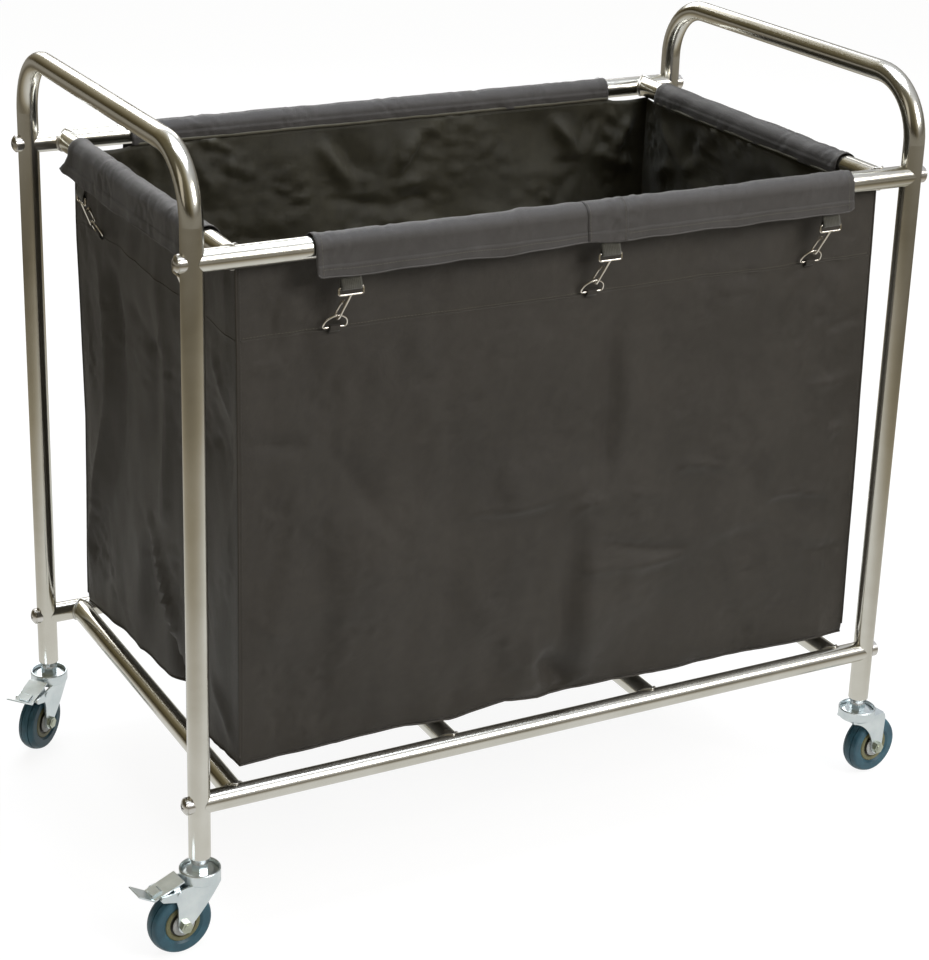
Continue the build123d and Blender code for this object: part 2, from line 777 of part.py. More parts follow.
def brake_pedal(swivel):
    """The foot pedal: a bent plate on a pivot pin through the fork, with a brake shoe below it."""
    side = trail_plane(swivel)
    (x0, z0), (x1, z1), (x2, z2) = pedal_path
    slope = atan2(z1 - z0, x1 - x0)
    along = Vector(cos(slope), sin(slope))
    up = Vector(-sin(slope), cos(slope))
    start = Vector(x0, z0)
    pivot = Vector(*pedal_pivot)

    def at(distance, height):
        point = start + along * distance + up * height
        return (point.X, point.Y)

    ear_foot = (pivot - start).dot(along)
    with BuildPart() as pedal:
        with BuildSketch(side):
            with BuildLine():
                Polyline(*pedal_path)
                offset(amount=pedal_t / 2, side=Side.BOTH, closed=True)
            make_face()
        extrude(amount=pedal_half_w, both=True)
        for inner in (pedal_half_w - pedal_ear_t, -pedal_half_w):
            with BuildSketch(side.offset(inner)):
                with BuildLine():
                    Polyline(at(ear_foot - pedal_ear_r, 0), at(ear_foot + pedal_ear_r, 0),
                             (pivot.X + pedal_ear_r, pivot.Y), (pivot.X - pedal_ear_r, pivot.Y),
                             close=True)
                make_face()
                with Locations(pedal_pivot):
                    Circle(pedal_ear_r)
            extrude(amount=pedal_ear_t)
        with BuildSketch(side):
            with Locations(pedal_pivot):
                Circle(pedal_pin_r)
        pin_end = fork_in + fork_t + pin_play
        extrude(amount=pin_end, both=True)
        for inner in (pin_end, -pin_end - pin_head_t):
            with BuildSketch(side.offset(inner)):
                with Locations(pedal_pivot):
                    Circle(pin_head_r)
            extrude(amount=pin_head_t)
        with BuildSketch(side):
            with BuildLine():
                Polyline(*[at(*corner) for corner in raised_tab], close=True)
            make_face()
        extrude(amount=raised_tab_half_w, both=True)
        with BuildSketch(side):
            with BuildLine():
                Polyline(*[at(*corner) for corner in brake_shoe], close=True)
            make_face()
        extrude(amount=brake_shoe_half_w, both=True)
    return pedal


for corner, swivel in swivels.items():
    has_brake = corner in braked
    keep(caster_fork(swivel, has_brake), f"{corner}_fork")
    keep(axle_bolt(swivel), f"{corner}_axle")
    keep(wheel_core(swivel), f"{corner}_wheel_core")
    keep(wheel_tread(swivel), f"{corner}_tread")
    if has_brake:
        keep(brake_pedal(swivel), f"{corner}_brake_pedal")
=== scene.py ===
"""The looks of a laundry cart: cloth, stitching, finishes, floor, light and camera."""

import math

import bpy
import numpy as np
from mathutils import Matrix, Vector


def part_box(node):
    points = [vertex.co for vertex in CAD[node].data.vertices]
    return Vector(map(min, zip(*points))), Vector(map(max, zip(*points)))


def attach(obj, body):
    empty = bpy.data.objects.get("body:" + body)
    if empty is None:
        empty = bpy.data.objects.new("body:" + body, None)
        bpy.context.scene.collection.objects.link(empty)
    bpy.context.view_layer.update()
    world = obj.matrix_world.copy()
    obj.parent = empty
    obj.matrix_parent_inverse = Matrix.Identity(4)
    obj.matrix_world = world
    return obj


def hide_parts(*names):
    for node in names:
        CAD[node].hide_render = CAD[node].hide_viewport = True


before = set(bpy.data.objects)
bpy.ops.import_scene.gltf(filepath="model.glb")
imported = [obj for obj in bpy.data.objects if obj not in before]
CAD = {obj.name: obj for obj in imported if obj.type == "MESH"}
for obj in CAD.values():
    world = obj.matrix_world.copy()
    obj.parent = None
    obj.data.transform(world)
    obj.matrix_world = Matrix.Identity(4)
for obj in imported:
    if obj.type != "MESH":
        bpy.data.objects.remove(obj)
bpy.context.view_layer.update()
MM = 0.001


def node_points(name):
    """The points of a CAD node's mesh, in metres."""
    mesh = CAD[name].data
    flat = np.zeros(len(mesh.vertices) * 3)
    mesh.vertices.foreach_get("co", flat)
    return flat.reshape(-1, 3)


# ================================================================ camera
camera_at = (-1.26993, -2.34473, 1.48665)
yaw, pitch, roll = 0.48773, -0.3649, 0.02732
forward = Vector((math.sin(yaw) * math.cos(pitch), math.cos(yaw) * math.cos(pitch), math.sin(pitch)))
level_right = Vector((math.cos(yaw), -math.sin(yaw), 0))
level_up = level_right.cross(forward)
right = level_right * math.cos(roll) + level_up * math.sin(roll)
up = level_up * math.cos(roll) - level_right * math.sin(roll)
camera = bpy.data.objects.new("camera", bpy.data.cameras.new("camera"))
bpy.context.scene.collection.objects.link(camera)
camera.data.sensor_width = 36
camera.data.lens = 86.61
camera.data.shift_x = 0.0255
camera.data.shift_y = -0.0625
turn = Matrix((right, up, -forward)).transposed()
camera.matrix_world = Matrix.Translation(camera_at) @ turn.to_4x4()
bpy.context.scene.camera = camera


# ================================================================ materials
THREAD_PITCH = 0.00075   # metres: the cloth's weave
RIB_PITCH, PICK_PITCH = 0.0013, 0.0021   # metres: the webbing's weave
RING_REACH = 0.03        # metres: the radius at which a wheel centre's colour ramp ends


class Nodes:
    """A short way to write the node tree of a material, or of the world."""

    def __init__(self, name, store=bpy.data.materials, shader="Principled BSDF"):
        self.material = store.new(name)
        self.material.use_nodes = True
        self.tree = self.material.node_tree
        self.shader = self.tree.nodes[shader]

    def add(self, kind, inputs=(), **settings):
        node = self.tree.nodes.new("ShaderNode" + kind)
        for key, value in settings.items():
            setattr(node, key, value)
        for key, value in dict(inputs).items():
            self.put(node, key, value)
        return node

    def put(self, node, key, value):
        socket = node.inputs[key]
        if isinstance(value, bpy.types.NodeSocket):
            self.tree.links.new(value, socket)
        else:
            socket.default_value = value

    def set(self, **values):
        for key, value in values.items():
            self.put(self.shader, key.replace("_", " "), value)

    def math(self, operation, *values, clamp=False):
        return self.add("Math", dict(enumerate(values)), operation=operation, use_clamp=clamp).outputs[0]

    def place(self):
        return self.add("TexCoord").outputs["Object"]

    def scaled(self, vector, scale):
        node = self.add("Mapping", {"Vector": vector, "Scale": scale})
        return node.outputs["Vector"]

    def noise(self, vector, scale, detail=3.0, roughness=0.5, distortion=0.0):
        grain = {"Scale": scale, "Detail": detail, "Roughness": roughness, "Distortion": distortion}
        return self.add("TexNoise", {"Vector": vector, **grain}).outputs["Fac"]

    def ramp(self, value, stops, interpolation="LINEAR"):
        node = self.add("ValToRGB", {"Fac": value})
        node.color_ramp.interpolation = interpolation
        elements = node.color_ramp.elements
        while len(elements) < len(stops):
            elements.new(0.5)
        for element, (at, colour) in zip(elements, stops):
            element.position = at
            shade = colour if hasattr(colour, "__len__") else (colour,) * 3
            element.color = (*shade, 1)
        return node.outputs["Color"]

    def mix(self, factor, a, b, blend="MIX"):
        node = self.add("Mix", data_type="RGBA", blend_type=blend)
        self.put(node, 0, factor)
        self.put(node, 6, a if not isinstance(a, tuple) else (*a, 1))
        self.put(node, 7, b if not isinstance(b, tuple) else (*b, 1))
        return node.outputs[2]

    def bump(self, height, distance, strength=1.0, under=None):
        node = self.add("Bump", {"Height": height, "Distance": distance, "Strength": strength})
        if under is not None:
            self.put(node, "Normal", under)
        return node.outputs["Normal"]


def polished_tube():
    """Polished stainless: fine draw marks, faint smears and a warm tint."""
    n = Nodes("polished_stainless")
    place = n.place()
    smear = n.noise(place, 9, 4, 0.6, 0.4)
    marks = n.noise(n.scaled(place, (400, 400, 400)), 1, 2)
    tint = n.ramp(smear, [(0.3, (0.62, 0.60, 0.53)), (0.7, (0.75, 0.735, 0.68))])
    n.set(
        Base_Color=tint,
        Metallic=1.0,
        Roughness=n.ramp(smear, [(0.25, 0.15), (0.75, 0.23)]),
        Normal=n.bump(marks, 0.00002, 0.25),
    )
    return n.material


def turned_steel(name, low, high, rough):
    n = Nodes(name)
    place = n.place()
    blotch = n.noise(place, 60, 4, 0.6)
    grain = n.noise(place, 900, 2)
    n.set(
        Base_Color=n.ramp(blotch, [(0.3, low), (0.7, high)]),
        Metallic=1.0,
        Roughness=n.ramp(blotch, [(0.25, rough), (0.75, rough + 0.13)]),
        Normal=n.bump(grain, 0.00003, 0.35),
    )
    return n.material


def zinc_plate():
    """Bright zinc on pressed steel: faint crystal mottling and a cool, uneven sheen."""
    n = Nodes("zinc_plate")
    place = n.place()
    crystal = n.add("TexVoronoi", {"Vector": place, "Scale": 420.0})
    cloud = n.noise(place, 35, 4, 0.6)
    shade = n.ramp(cloud, [(0.3, (0.66, 0.73, 0.755)), (0.7, (0.84, 0.90, 0.91))])
    spots = n.mix(0.035, shade, crystal.outputs["Color"], "SOFT_LIGHT")
    n.set(
        Base_Color=spots,
        Metallic=1.0,
        Roughness=n.ramp(cloud, [(0.2, 0.26), (0.8, 0.38)]),
        Normal=n.bump(n.noise(place, 700, 2), 0.00004, 0.4),
    )
    return n.material


def coated_cloth(name, dark, light, weave_scale=1.0, rough=0.5):
    """Coated oxford cloth: a fine basket weave, handled patches and soft creasing."""
    n = Nodes(name)
    uv = n.add("UVMap", uv_map="cloth").outputs["UV"]
    split = n.add("SeparateXYZ", {"Vector": uv})
    threads = 2 * math.pi / (THREAD_PITCH * weave_scale)
    across = n.math("SINE", n.math("MULTIPLY", split.outputs["X"], threads))
    along = n.math("SINE", n.math("MULTIPLY", split.outputs["Y"], threads))
    weave = n.math("MULTIPLY", across, along)
    handled = n.noise(uv, 7, 5, 0.62, 0.6)
    fine = n.noise(uv, 90, 4, 0.6)
    tone = n.mix(0.35, handled, fine)
    base = n.ramp(tone, [(0.32, dark), (0.68, light)])
    woven = n.mix(n.math("MULTIPLY_ADD", weave, 0.16, 0.5, clamp=True), (0, 0, 0), base)
    crease = n.noise(uv, 26, 5, 0.65, 0.8)
    soft = n.bump(crease, 0.0013, 0.6)
    n.set(
        Base_Color=woven,
        Roughness=n.ramp(handled, [(0.3, rough - 0.05), (0.7, rough + 0.09)]),
        Specular_IOR_Level=0.42,
        Sheen_Weight=0.12,
        Sheen_Roughness=0.45,
        Normal=n.bump(weave, 0.00011, 0.6, soft),
    )
    return n.material


def ribbed_webbing():
    n = Nodes("ribbed_webbing")
    uv = n.add("UVMap", uv_map="cloth").outputs["UV"]
    split = n.add("SeparateXYZ", {"Vector": uv})
    ribs = n.math("SINE", n.math("MULTIPLY", split.outputs["Y"], 2 * math.pi / RIB_PITCH))
    picks = n.math("SINE", n.math("MULTIPLY", split.outputs["X"], 2 * math.pi / PICK_PITCH))
    weave = n.math("MULTIPLY_ADD", picks, 0.4, ribs)
    fuzz = n.noise(uv, 900, 2)
    tone = n.mix(0.5, n.noise(uv, 60, 3), fuzz)
    n.set(
        Base_Color=n.ramp(tone, [(0.3, (0.026, 0.0245, 0.017)), (0.7, (0.07, 0.066, 0.048))]),
        Roughness=0.72,
        Sheen_Weight=0.25,
        Normal=n.bump(weave, 0.00025, 0.8),
    )
    return n.material


def thread(name, colour):
    n = Nodes(name)
    twist = n.noise(n.place(), 2500, 2)
    lighter = tuple(1.5 * c for c in colour)
    n.set(Base_Color=n.ramp(twist, [(0.35, colour), (0.65, lighter)]), Roughness=0.6, Sheen_Weight=0.2)
    return n.material


def tread_rubber():
    n = Nodes("blue_rubber")
    place = n.place()
    dust = n.noise(place, 45, 5, 0.6)
    n.set(
        Base_Color=n.ramp(dust, [(0.3, (0.012, 0.05, 0.075)), (0.75, (0.034, 0.115, 0.155))]),
        Roughness=n.ramp(dust, [(0.3, 0.34), (0.7, 0.5)]),
        Specular_IOR_Level=0.5,
        Normal=n.bump(n.noise(place, 1200, 2), 0.00004, 0.4),
    )
    return n.material


def moulded_core(corner):
    """The wheel's centre: olive plastic and a pale hub disc, with a dark ring between them painted as shade
    in the groove.
    """
    n = Nodes(f"moulded_core_{corner}")
    tread_low, tread_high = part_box(f"{corner}_tread")
    middle = (tread_low + tread_high) / 2
    angle = AXLE_ANGLE[corner]
    axis = Vector((math.cos(angle), math.sin(angle), 0))
    place = n.place()
    offset = n.add("VectorMath", {0: place, 1: middle}, operation="SUBTRACT").outputs[0]
    along = n.add("VectorMath", {0: offset, 1: axis}, operation="DOT_PRODUCT").outputs["Value"]
    on_axis = n.add("VectorMath", {0: axis, "Scale": along}, operation="SCALE").outputs[0]
    radial = n.add("VectorMath", {0: offset, 1: on_axis}, operation="SUBTRACT").outputs[0]
    radius = n.add("VectorMath", {0: radial}, operation="LENGTH").outputs["Value"]
    rings = n.ramp(
        n.math("MULTIPLY", radius, 1 / RING_REACH),
        [
            (0.0, (0.42, 0.43, 0.42)),
            # painted shade: the near-black ring stands for the shade in the groove round the hub disc
            (0.455, (0.035, 0.035, 0.03)),
            (0.515, (0.15, 0.145, 0.062)),
            (0.722, (0.03, 0.06, 0.075)),
        ],
        "CONSTANT",
    )
    speck = n.noise(place, 300, 3)
    n.set(
        Base_Color=n.mix(n.math("MULTIPLY", speck, 0.25), rings, (0.05, 0.05, 0.04)),
        Roughness=n.ramp(speck, [(0.3, 0.32), (0.7, 0.48)]),
        Normal=n.bump(n.noise(place, 1500, 2), 0.00003, 0.3),
    )
    return n.material


def axle_angles():
    """The direction of each wheel's axle in plan, read from its hex bolt's longest spread."""
    angles = {}
    for corner in CORNERS:
        plan = node_points(f"{corner}_axle")[:, :2]
        spread = np.linalg.svd(plan - plan.mean(0), full_matrices=False)[2][0]
        angles[corner] = math.atan2(spread[1], spread[0])
    return angles


CORNERS = ("front_left", "rear_left", "front_right", "rear_right")
AXLE_ANGLE = axle_angles()

tube_finish = polished_tube()
screw_finish = turned_steel("screw_steel", (0.62, 0.6, 0.56), (0.78, 0.76, 0.73), 0.16)
socket_finish = turned_steel("socket_steel", (0.55, 0.54, 0.52), (0.72, 0.71, 0.69), 0.22)
axle_finish = turned_steel("axle_steel", (0.40, 0.43, 0.34), (0.60, 0.63, 0.53), 0.24)
hook_finish = turned_steel("nickel_plate", (0.62, 0.58, 0.51), (0.83, 0.79, 0.72), 0.14)
weld_finish = turned_steel("weld_bead", (0.5, 0.48, 0.44), (0.72, 0.7, 0.66), 0.24)
zinc_finish = zinc_plate()
wall_cloth = coated_cloth("bag_cloth", (0.036, 0.0285, 0.0185), (0.070, 0.0585, 0.0435))
inside_cloth = coated_cloth("inside_cloth", (0.030, 0.0265, 0.0115), (0.078, 0.069, 0.036))
# painted light: the sleeves are made lighter than the wall cloth for the light from the front and above on
# their curved tops
sleeve_cloth = coated_cloth("sleeve_cloth", (0.060, 0.053, 0.047), (0.098, 0.089, 0.082))
band_cloth = coated_cloth("binding_cloth", (0.11, 0.1, 0.062), (0.17, 0.155, 0.105), 0.8, 0.55)
web_finish = ribbed_webbing()
thread_dark = thread("dark_thread", (0.03, 0.027, 0.02))
thread_olive = thread("olive_thread", (0.075, 0.068, 0.045))
rubber_finish = tread_rubber()

SLOT_FINISH = {
    "tube_steel": tube_finish,
    "screw_steel": screw_finish,
    "zinc_steel": zinc_finish,
    "hook_metal": hook_finish,
    "bag_cloth": wall_cloth,
    "webbing": web_finish,
    "tread_rubber": rubber_finish,
    "wheel_core_plastic": None,
}
for name, node in CAD.items():
    for held in node.material_slots:
        slot_name = held.material.name.split(".")[0]
        if slot_name == "wheel_core_plastic":
            held.material = moulded_core(name.removesuffix("_wheel_core"))
        elif name == "leg_sockets":
            held.material = socket_finish
        elif name.endswith("_axle"):
            held.material = axle_finish
        else:
            held.material = SLOT_FINISH[slot_name]


# ================================================================ mesh helpers
def piece(name, points, faces, material, slot, body="frame", uv=None, smooth=True):
    """A new piece from points in millimetres, riding on a body."""
    mesh = bpy.data.meshes.new(name)
    mesh.from_pydata((np.asarray(points, float) * MM).tolist(), [], [tuple(map(int, f)) for f in faces])
    mesh.polygons.foreach_set("use_smooth", [smooth] * len(mesh.polygons))
    if uv is not None:
        layer = mesh.uv_layers.new(name="cloth")
        index = np.zeros(len(mesh.loops), int)
        mesh.loops.foreach_get("vertex_index", index)
        layer.data.foreach_set("uv", (np.asarray(uv, float) * MM)[index].ravel())
    mesh.materials.append(material)
    mesh.validate()
    made = bpy.data.objects.new(name, mesh)
    bpy.context.scene.collection.objects.link(made)
    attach(made, body)
    return made


def grid_faces(rows, columns, start=0, closed=False):
    """Quads over points stored row by row; a closed grid joins its last column to its first."""
    r = np.arange(rows - 1)[:, None]
    c = np.arange(columns if closed else columns - 1)[None, :]
    n = (c + 1) % columns
    quads = np.stack([r * columns + c, r * columns + n, (r + 1) * columns + n, (r + 1) * columns + c], -1)
    return (quads.reshape(-1, 4) + start).tolist()


def thicken(made, thickness, offset=-1.0):
    solid = made.modifiers.new("thickness", "SOLIDIFY")
    solid.thickness = thickness * MM
    solid.offset = offset
    solid.use_rim = True


def smoothed(points, count):
    """Points along a Catmull-Rom line through the given ones."""
    p = np.asarray(points, float)
    if len(p) == 2:
        return p[0] + np.linspace(0, 1, count)[:, None] * (p[1] - p[0])
    p = np.vstack([2 * p[0] - p[1], p, 2 * p[-1] - p[-2]])
    where = np.linspace(0, len(p) - 3 - 1e-9, count)
    i = where.astype(int)
    t = (where - i)[:, None]
    a, b, c, d = p[i], p[i + 1], p[i + 2], p[i + 3]
    return 0.5 * (2 * b + (c - a) * t + (2 * a - 5 * b + 4 * c - d) * t**2 + (3 * b - a - 3 * c + d) * t**3)


def frames_along(points, normals):
    """Unit tangents, sides and normals along a line."""
    tangent = np.gradient(points, axis=0)
    tangent /= np.linalg.norm(tangent, axis=1)[:, None]
    side = np.cross(tangent, normals)
    side /= np.linalg.norm(side, axis=1)[:, None]
    return tangent, side, np.cross(side, tangent)


def run_along(points):
    """How far along a line each of its points is."""
    return np.concatenate([[0], np.cumsum(np.linalg.norm(np.diff(points, axis=0), axis=1))])


def bead_mesh(points, normals, radius, sides=8, flatten=1.0, closed=False):
    """A swept bead: points, faces. radius may change along it."""
    points = np.asarray(points, float)
    normals = np.broadcast_to(np.asarray(normals, float), points.shape)
    _, side, normal = frames_along(points, normals)
    turn_by = np.linspace(0, 2 * math.pi, sides, endpoint=False)
    radius = np.broadcast_to(np.asarray(radius, float), (len(points),))[:, None, None]
    across, rise = np.cos(turn_by)[None, :, None], flatten * np.sin(turn_by)[None, :, None]
    ring = across * side[:, None] + rise * normal[:, None]
    made = (points[:, None] + radius * ring).reshape(-1, 3)
    faces = grid_faces(len(points), sides, closed=True)
    if closed:
        last = (len(points) - 1) * sides
        faces += [(last + k, last + (k + 1) % sides, (k + 1) % sides, k) for k in range(sides)]
    else:
        faces += [tuple(range(sides))[::-1], tuple(range(len(made) - sides, len(made)))]
    return made, faces


def joined(parts):
    """Several (points, faces) as one."""
    points, faces, start = [], [], 0
    for p, f in parts:
        points.append(p)
        faces += [tuple(v + start for v in face) for face in f]
        start += len(p)
    return np.vstack(points), faces


def stitch_row(points, normals, pitch=3.6, length=2.5, radius=0.32, sink=0.12):
    """Lockstitches lying along a line on cloth: one low, tapered thread bead each."""
    points = np.asarray(points, float)
    normals = np.broadcast_to(np.asarray(normals, float), points.shape)
    run = run_along(points)
    count = max(1, int(run[-1] / pitch))
    starts = (np.arange(count) + 0.5) * run[-1] / count

    def at(values, s):
        return np.stack([np.interp(s, run, values[:, k]) for k in range(3)], -1)

    parts = []
    profile = [(-0.5, 0.25, -0.5), (-0.25, 0.95, 0.35), (0.25, 0.95, 0.35), (0.5, 0.25, -0.5)]
    for s in starts:
        line = np.vstack([at(points, s + length * k) for k, _, _ in profile])
        out = at(normals, s)
        out = out / np.linalg.norm(out)
        line = line + np.array([[(lift - sink / radius) * radius] for _, _, lift in profile]) * out
        parts.append(bead_mesh(line, out, [radius * size for _, size, _ in profile], sides=5))
    return joined(parts)


def waves(points, scale, seed, octaves=3, power=0.5):
    """Smooth seeded noise, about -1 to 1, by summed trigonometric waves of random directions."""
    draw = np.random.default_rng(seed)
    p = np.asarray(points, float) / scale
    total = np.zeros(p.shape[0])
    size = 1.0
    weight = 0.0
    for _ in range(octaves):
        for _ in range(7):
            way = draw.normal(size=p.shape[1])
            way *= (0.7 + 0.6 * draw.random()) * 2 * math.pi / np.linalg.norm(way)
            bend = draw.normal(size=p.shape[1]) * 2.1
            phase = draw.random() * 2 * math.pi
            total += size * np.sin(p @ way * size**-1.0 + phase + 0.9 * np.sin(p @ bend + 3 * phase))
        weight += size * size * 7
        size *= power
    return total / math.sqrt(weight) / 1.2


# ================================================================ bag shell
LEVELS = [197, 450, 685, 786]
FRONT_Y = [-240, -246, -251.5, -248.6]
REAR_Y = [246, 247, 251.5, 248.6]
LEFT_X = [-396, -395.5, -397, -394.1]
RIGHT_X = [428, 410, 396.5, 394.1]
FRONT_ENDS = [(-395, 433), (-397, 424), (-400, 414), (-400, 414)]
REAR_ENDS = [(-402, 425), (-397, 418), (-400, 410), (-400, 410)]
RAIL_Z, LOW_RAIL_Z, RAIL_Y, SIDE_X, TUBE_R = 800, 178, 262.5, 408, 12.5
CLIPS = {
    "front": [-282, 33, 330],
    "rear": [-290, 12, 318],
    "left": [160, -148],
    "right": [-150, 140],
}
SLEEVES = {
    "front": (-322, 360),
    "rear": (-328, 347),
    "left": (-195, 203),
    "right": (-195, 204),
}
TOP_EDGE = 788.5         # upper edge of the walls, where the sleeves are sewn on
FOLD_DEPTH = {"front": 3.2, "left": 2.1, "rear": 3.6, "right": 3.2}
PUCKER_DEPTH = {"front": 1.6, "left": 1.6, "rear": 5.5, "right": 5.0}
CRISP_DEPTH = {"front": 0.85, "left": 1.1, "rear": 2.4, "right": 2.2}
TAB_LEVEL = 702          # height where the ring tabs pull on the wall
BAND_LEVEL = 704         # lower edge of the doubled band round the bag's top
NX, NY = 150, 92         # cells along a long wall and a short wall
WALL_ROWS = 104
GIRTH_ROW = 60           # the row that the weave is laid out along
FLOOR_REST = 192.4       # height of the bag's floor where a cross tube carries it
FLOOR_SAG = 3.6          # how far it sags between the tubes
INNER_TUBE_X = 136
SIDES = ("front", "right", "rear", "left")
OUTWARD = {"front": (0, -1, 0), "rear": (0, 1, 0), "left": (-1, 0, 0), "right": (1, 0, 0)}
WALL_CLOTH, SLEEVE_CLOTH = 1.1, 0.8


def spaced(count):
    """0 to 1 with closer steps at both ends, for crisp sewn corners."""
    t = np.linspace(0, 1, count + 1)
    return t - 0.72 * np.sin(2 * math.pi * t) / (2 * math.pi)


def line_distance(x, z, points):
    """Distance to a smooth line, which side of it, and how far along, 0 to 1."""
    line = smoothed(points, 26)
    a, b = line[:-1], line[1:]
    along = b - a
    size = (along**2).sum(1)
    px, pz = x[:, None] - a[:, 0], z[:, None] - a[:, 1]
    t = np.clip((px * along[:, 0] + pz * along[:, 1]) / size, 0, 1)
    dx, dz = px - t * along[:, 0], pz - t * along[:, 1]
    gap = np.hypot(dx, dz)
    best = gap.argmin(1)
    pick = np.arange(len(x))
    side = np.sign(along[best, 0] * dz[pick, best] - along[best, 1] * dx[pick, best])
    return gap[pick, best], side, (best + t[pick, best]) / len(a)


def fold(x, z, points, height, width, kind="ridge"):
    """The displacement of one crease: a ridge (or valley, if height is negative) or a step."""
    gap, side, at = line_distance(x, z, points)
    fade = np.sin(math.pi * np.clip(at, 0.02, 0.98)) ** 0.7
    if kind == "step":
        return height * fade * side * np.tanh(gap / width) * np.exp(-gap / (5 * width))
    return height * fade * np.exp(-((gap / width) ** 1.25))


# Folds on each wall: points (along the rail, height), how far it stands out and its width. Most are ridges.
FOLDS = {
    "front": [
        ([(50, 690), (62, 600), (60, 520), (58, 445)], -2.6, 16),
        ([(78, 690), (86, 600), (80, 500)], 1.6, 20),
        ([(22, 450), (20, 360), (16, 290), (30, 212)], -3.2, 13),
        ([(44, 440), (46, 350), (44, 280), (50, 220)], 2.0, 18),
        ([(-18, 262), (4, 238), (28, 206)], -6.5, 17),
        ([(-32, 300), (-24, 250), (-16, 205)], 2.6, 14),
        ([(-128, 458), (-40, 455), (2, 459)], 1.7, 5),
        ([(-128, 458), (-40, 455), (2, 459)], 1.2, 9, "step"),
        ([(16, 428), (34, 448), (46, 450), (66, 431)], 2.1, 5),
        ([(90, 452), (120, 444), (150, 438)], 1.4, 5),
        ([(160, 467), (186, 472), (240, 455)], 1.7, 6),
        ([(285, 404), (320, 412), (392, 398)], 1.9, 6),
        ([(285, 404), (320, 412), (392, 398)], 1.5, 12, "step"),
        ([(30, 403), (88, 385), (141, 370), (194, 363)], -1.9, 7),
        ([(25, 364), (57, 361), (155, 355), (196, 363)], 1.7, 7),
        ([(196, 363), (270, 372), (340, 366)], 1.2, 9, "step"),
        ([(-398, 396), (-371, 370), (-332, 345)], 1.6, 12),
        ([(-320, 606), (-250, 510), (-216, 455)], -1.5, 16),
        ([(-282, 500), (-284, 380), (-278, 228)], 2.0, 20, "step"),
        ([(-398, 588), (-350, 580), (-312, 574)], -1.6, 10),
        ([(-398, 668), (-370, 672), (-340, 668)], 1.3, 7),
        ([(430, 560), (380, 548), (330, 552)], 1.5, 9),
        ([(428, 622), (392, 626), (352, 618)], -1.6, 9),
        ([(428, 480), (396, 486), (360, 474)], 1.4, 8),
        ([(430, 330), (396, 322), (350, 330)], -1.6, 9),
        ([(-190, 640), (-160, 560), (-150, 480)], 1.0, 22),
        ([(200, 650), (222, 560), (215, 490)], -1.1, 24),
        ([(-100, 330), (-60, 290), (-48, 240)], 1.4, 15),
    ],
    "left": [
        ([(193, 700), (162, 615), (150, 522), (190, 395), (222, 290), (240, 205)], 6.0, 15),
        ([(150, 690), (118, 610), (112, 500), (150, 380)], -5.0, 20),
        ([(100, 660), (40, 632), (-57, 590)], -2.2, 14),
        ([(-12, 720), (-42, 610), (-32, 465), (-24, 400)], 4.5, 14),
        ([(20, 700), (6, 600), (14, 470)], -3.2, 18),
        ([(18, 392), (38, 335), (56, 232)], 4.0, 11, "step"),
        ([(15, 392), (-44, 318), (-80, 238)], 6.5, 10),
        ([(-34, 300), (-62, 256), (-84, 206)], -8.0, 13),
        ([(-120, 300), (-112, 250), (-118, 205)], 3.2, 15),
        ([(-168, 690), (-205, 645), (-226, 600)], 2.6, 9),
        ([(-160, 292), (-205, 250), (-238, 210)], 2.6, 10),
        ([(-120, 640), (-132, 520), (-124, 380)], 2.8, 22),
    ],
    "rear": [
        ([(-78, 772), (-52, 735), (-30, 702)], -4.2, 8),
        ([(-58, 772), (-34, 735), (-14, 706)], 2.6, 9),
        ([(66, 772), (46, 744), (26, 708)], -4.0, 9),
        ([(86, 772), (62, 740), (38, 700)], 2.0, 10),
        ([(-20, 722), (2, 699), (34, 688)], -3.0, 7),
        ([(-60, 690), (-20, 684), (40, 676), (100, 684)], 2.6, 8),
        ([(260, 774), (282, 748), (300, 722)], -3.6, 9),
        ([(324, 774), (318, 752), (312, 726)], 2.6, 8),
        ([(388, 770), (372, 742), (350, 715)], -3.2, 9),
        ([(270, 719), (320, 717), (356, 707), (408, 684)], -3.6, 8),
        ([(262, 704), (320, 700), (380, 676)], 2.4, 9),
        ([(-250, 774), (-232, 740), (-214, 700)], -2.4, 12),
        ([(-330, 774), (-308, 735), (-296, 700)], 2.6, 9),
        ([(-256, 640), (-180, 650), (-90, 640)], 2.0, 12),
        ([(140, 660), (200, 640), (260, 650)], -2.2, 12),
        ([(-150, 600), (-140, 450), (-160, 300)], 2.2, 30),
        ([(160, 590), (170, 430), (150, 300)], -2.4, 28),
    ],
    "right": [
        ([(194, 768), (165, 742), (140, 716)], -3.4, 8),
        ([(104, 772), (120, 745), (136, 716)], 2.8, 8),
        ([(210, 695), (170, 708), (134, 717), (100, 722)], -3.2, 8),
        ([(204, 680), (160, 690), (104, 702)], 2.2, 9),
        ([(-60, 772), (-90, 740), (-130, 708)], 2.2, 10),
        ([(60, 700), (30, 560), (40, 400)], 4.0, 22),
        ([(-60, 690), (-40, 520), (-70, 340)], -4.0, 24),
        ([(0, 420), (-50, 330), (-90, 220)], 4.5, 14),
        ([(10, 420), (50, 320), (70, 220)], -4.0, 14),
        ([(180, 620), (190, 450), (170, 260)], 3.0, 20),
    ],
}
# Height of the bag's lower edge along each wall.
LOWER_EDGE = {
    "front": [
        (-395, 199), (-200, 203), (-125, 197), (-56, 207), (-8, 199), (60, 202), (200, 201), (433, 199)
    ],
    "rear": [(-402, 195), (-240, 198), (-60, 205), (90, 197), (260, 203), (433, 202)],
    "left": [(-240, 199), (-160, 202), (-80, 226), (0, 213), (60, 208), (140, 203), (246, 195)],
    "right": [(-240, 199), (-120, 201), (-40, 213), (60, 204), (150, 208), (240, 202)],
}


def at_level(values, z):
    return np.interp(z, LEVELS, values)


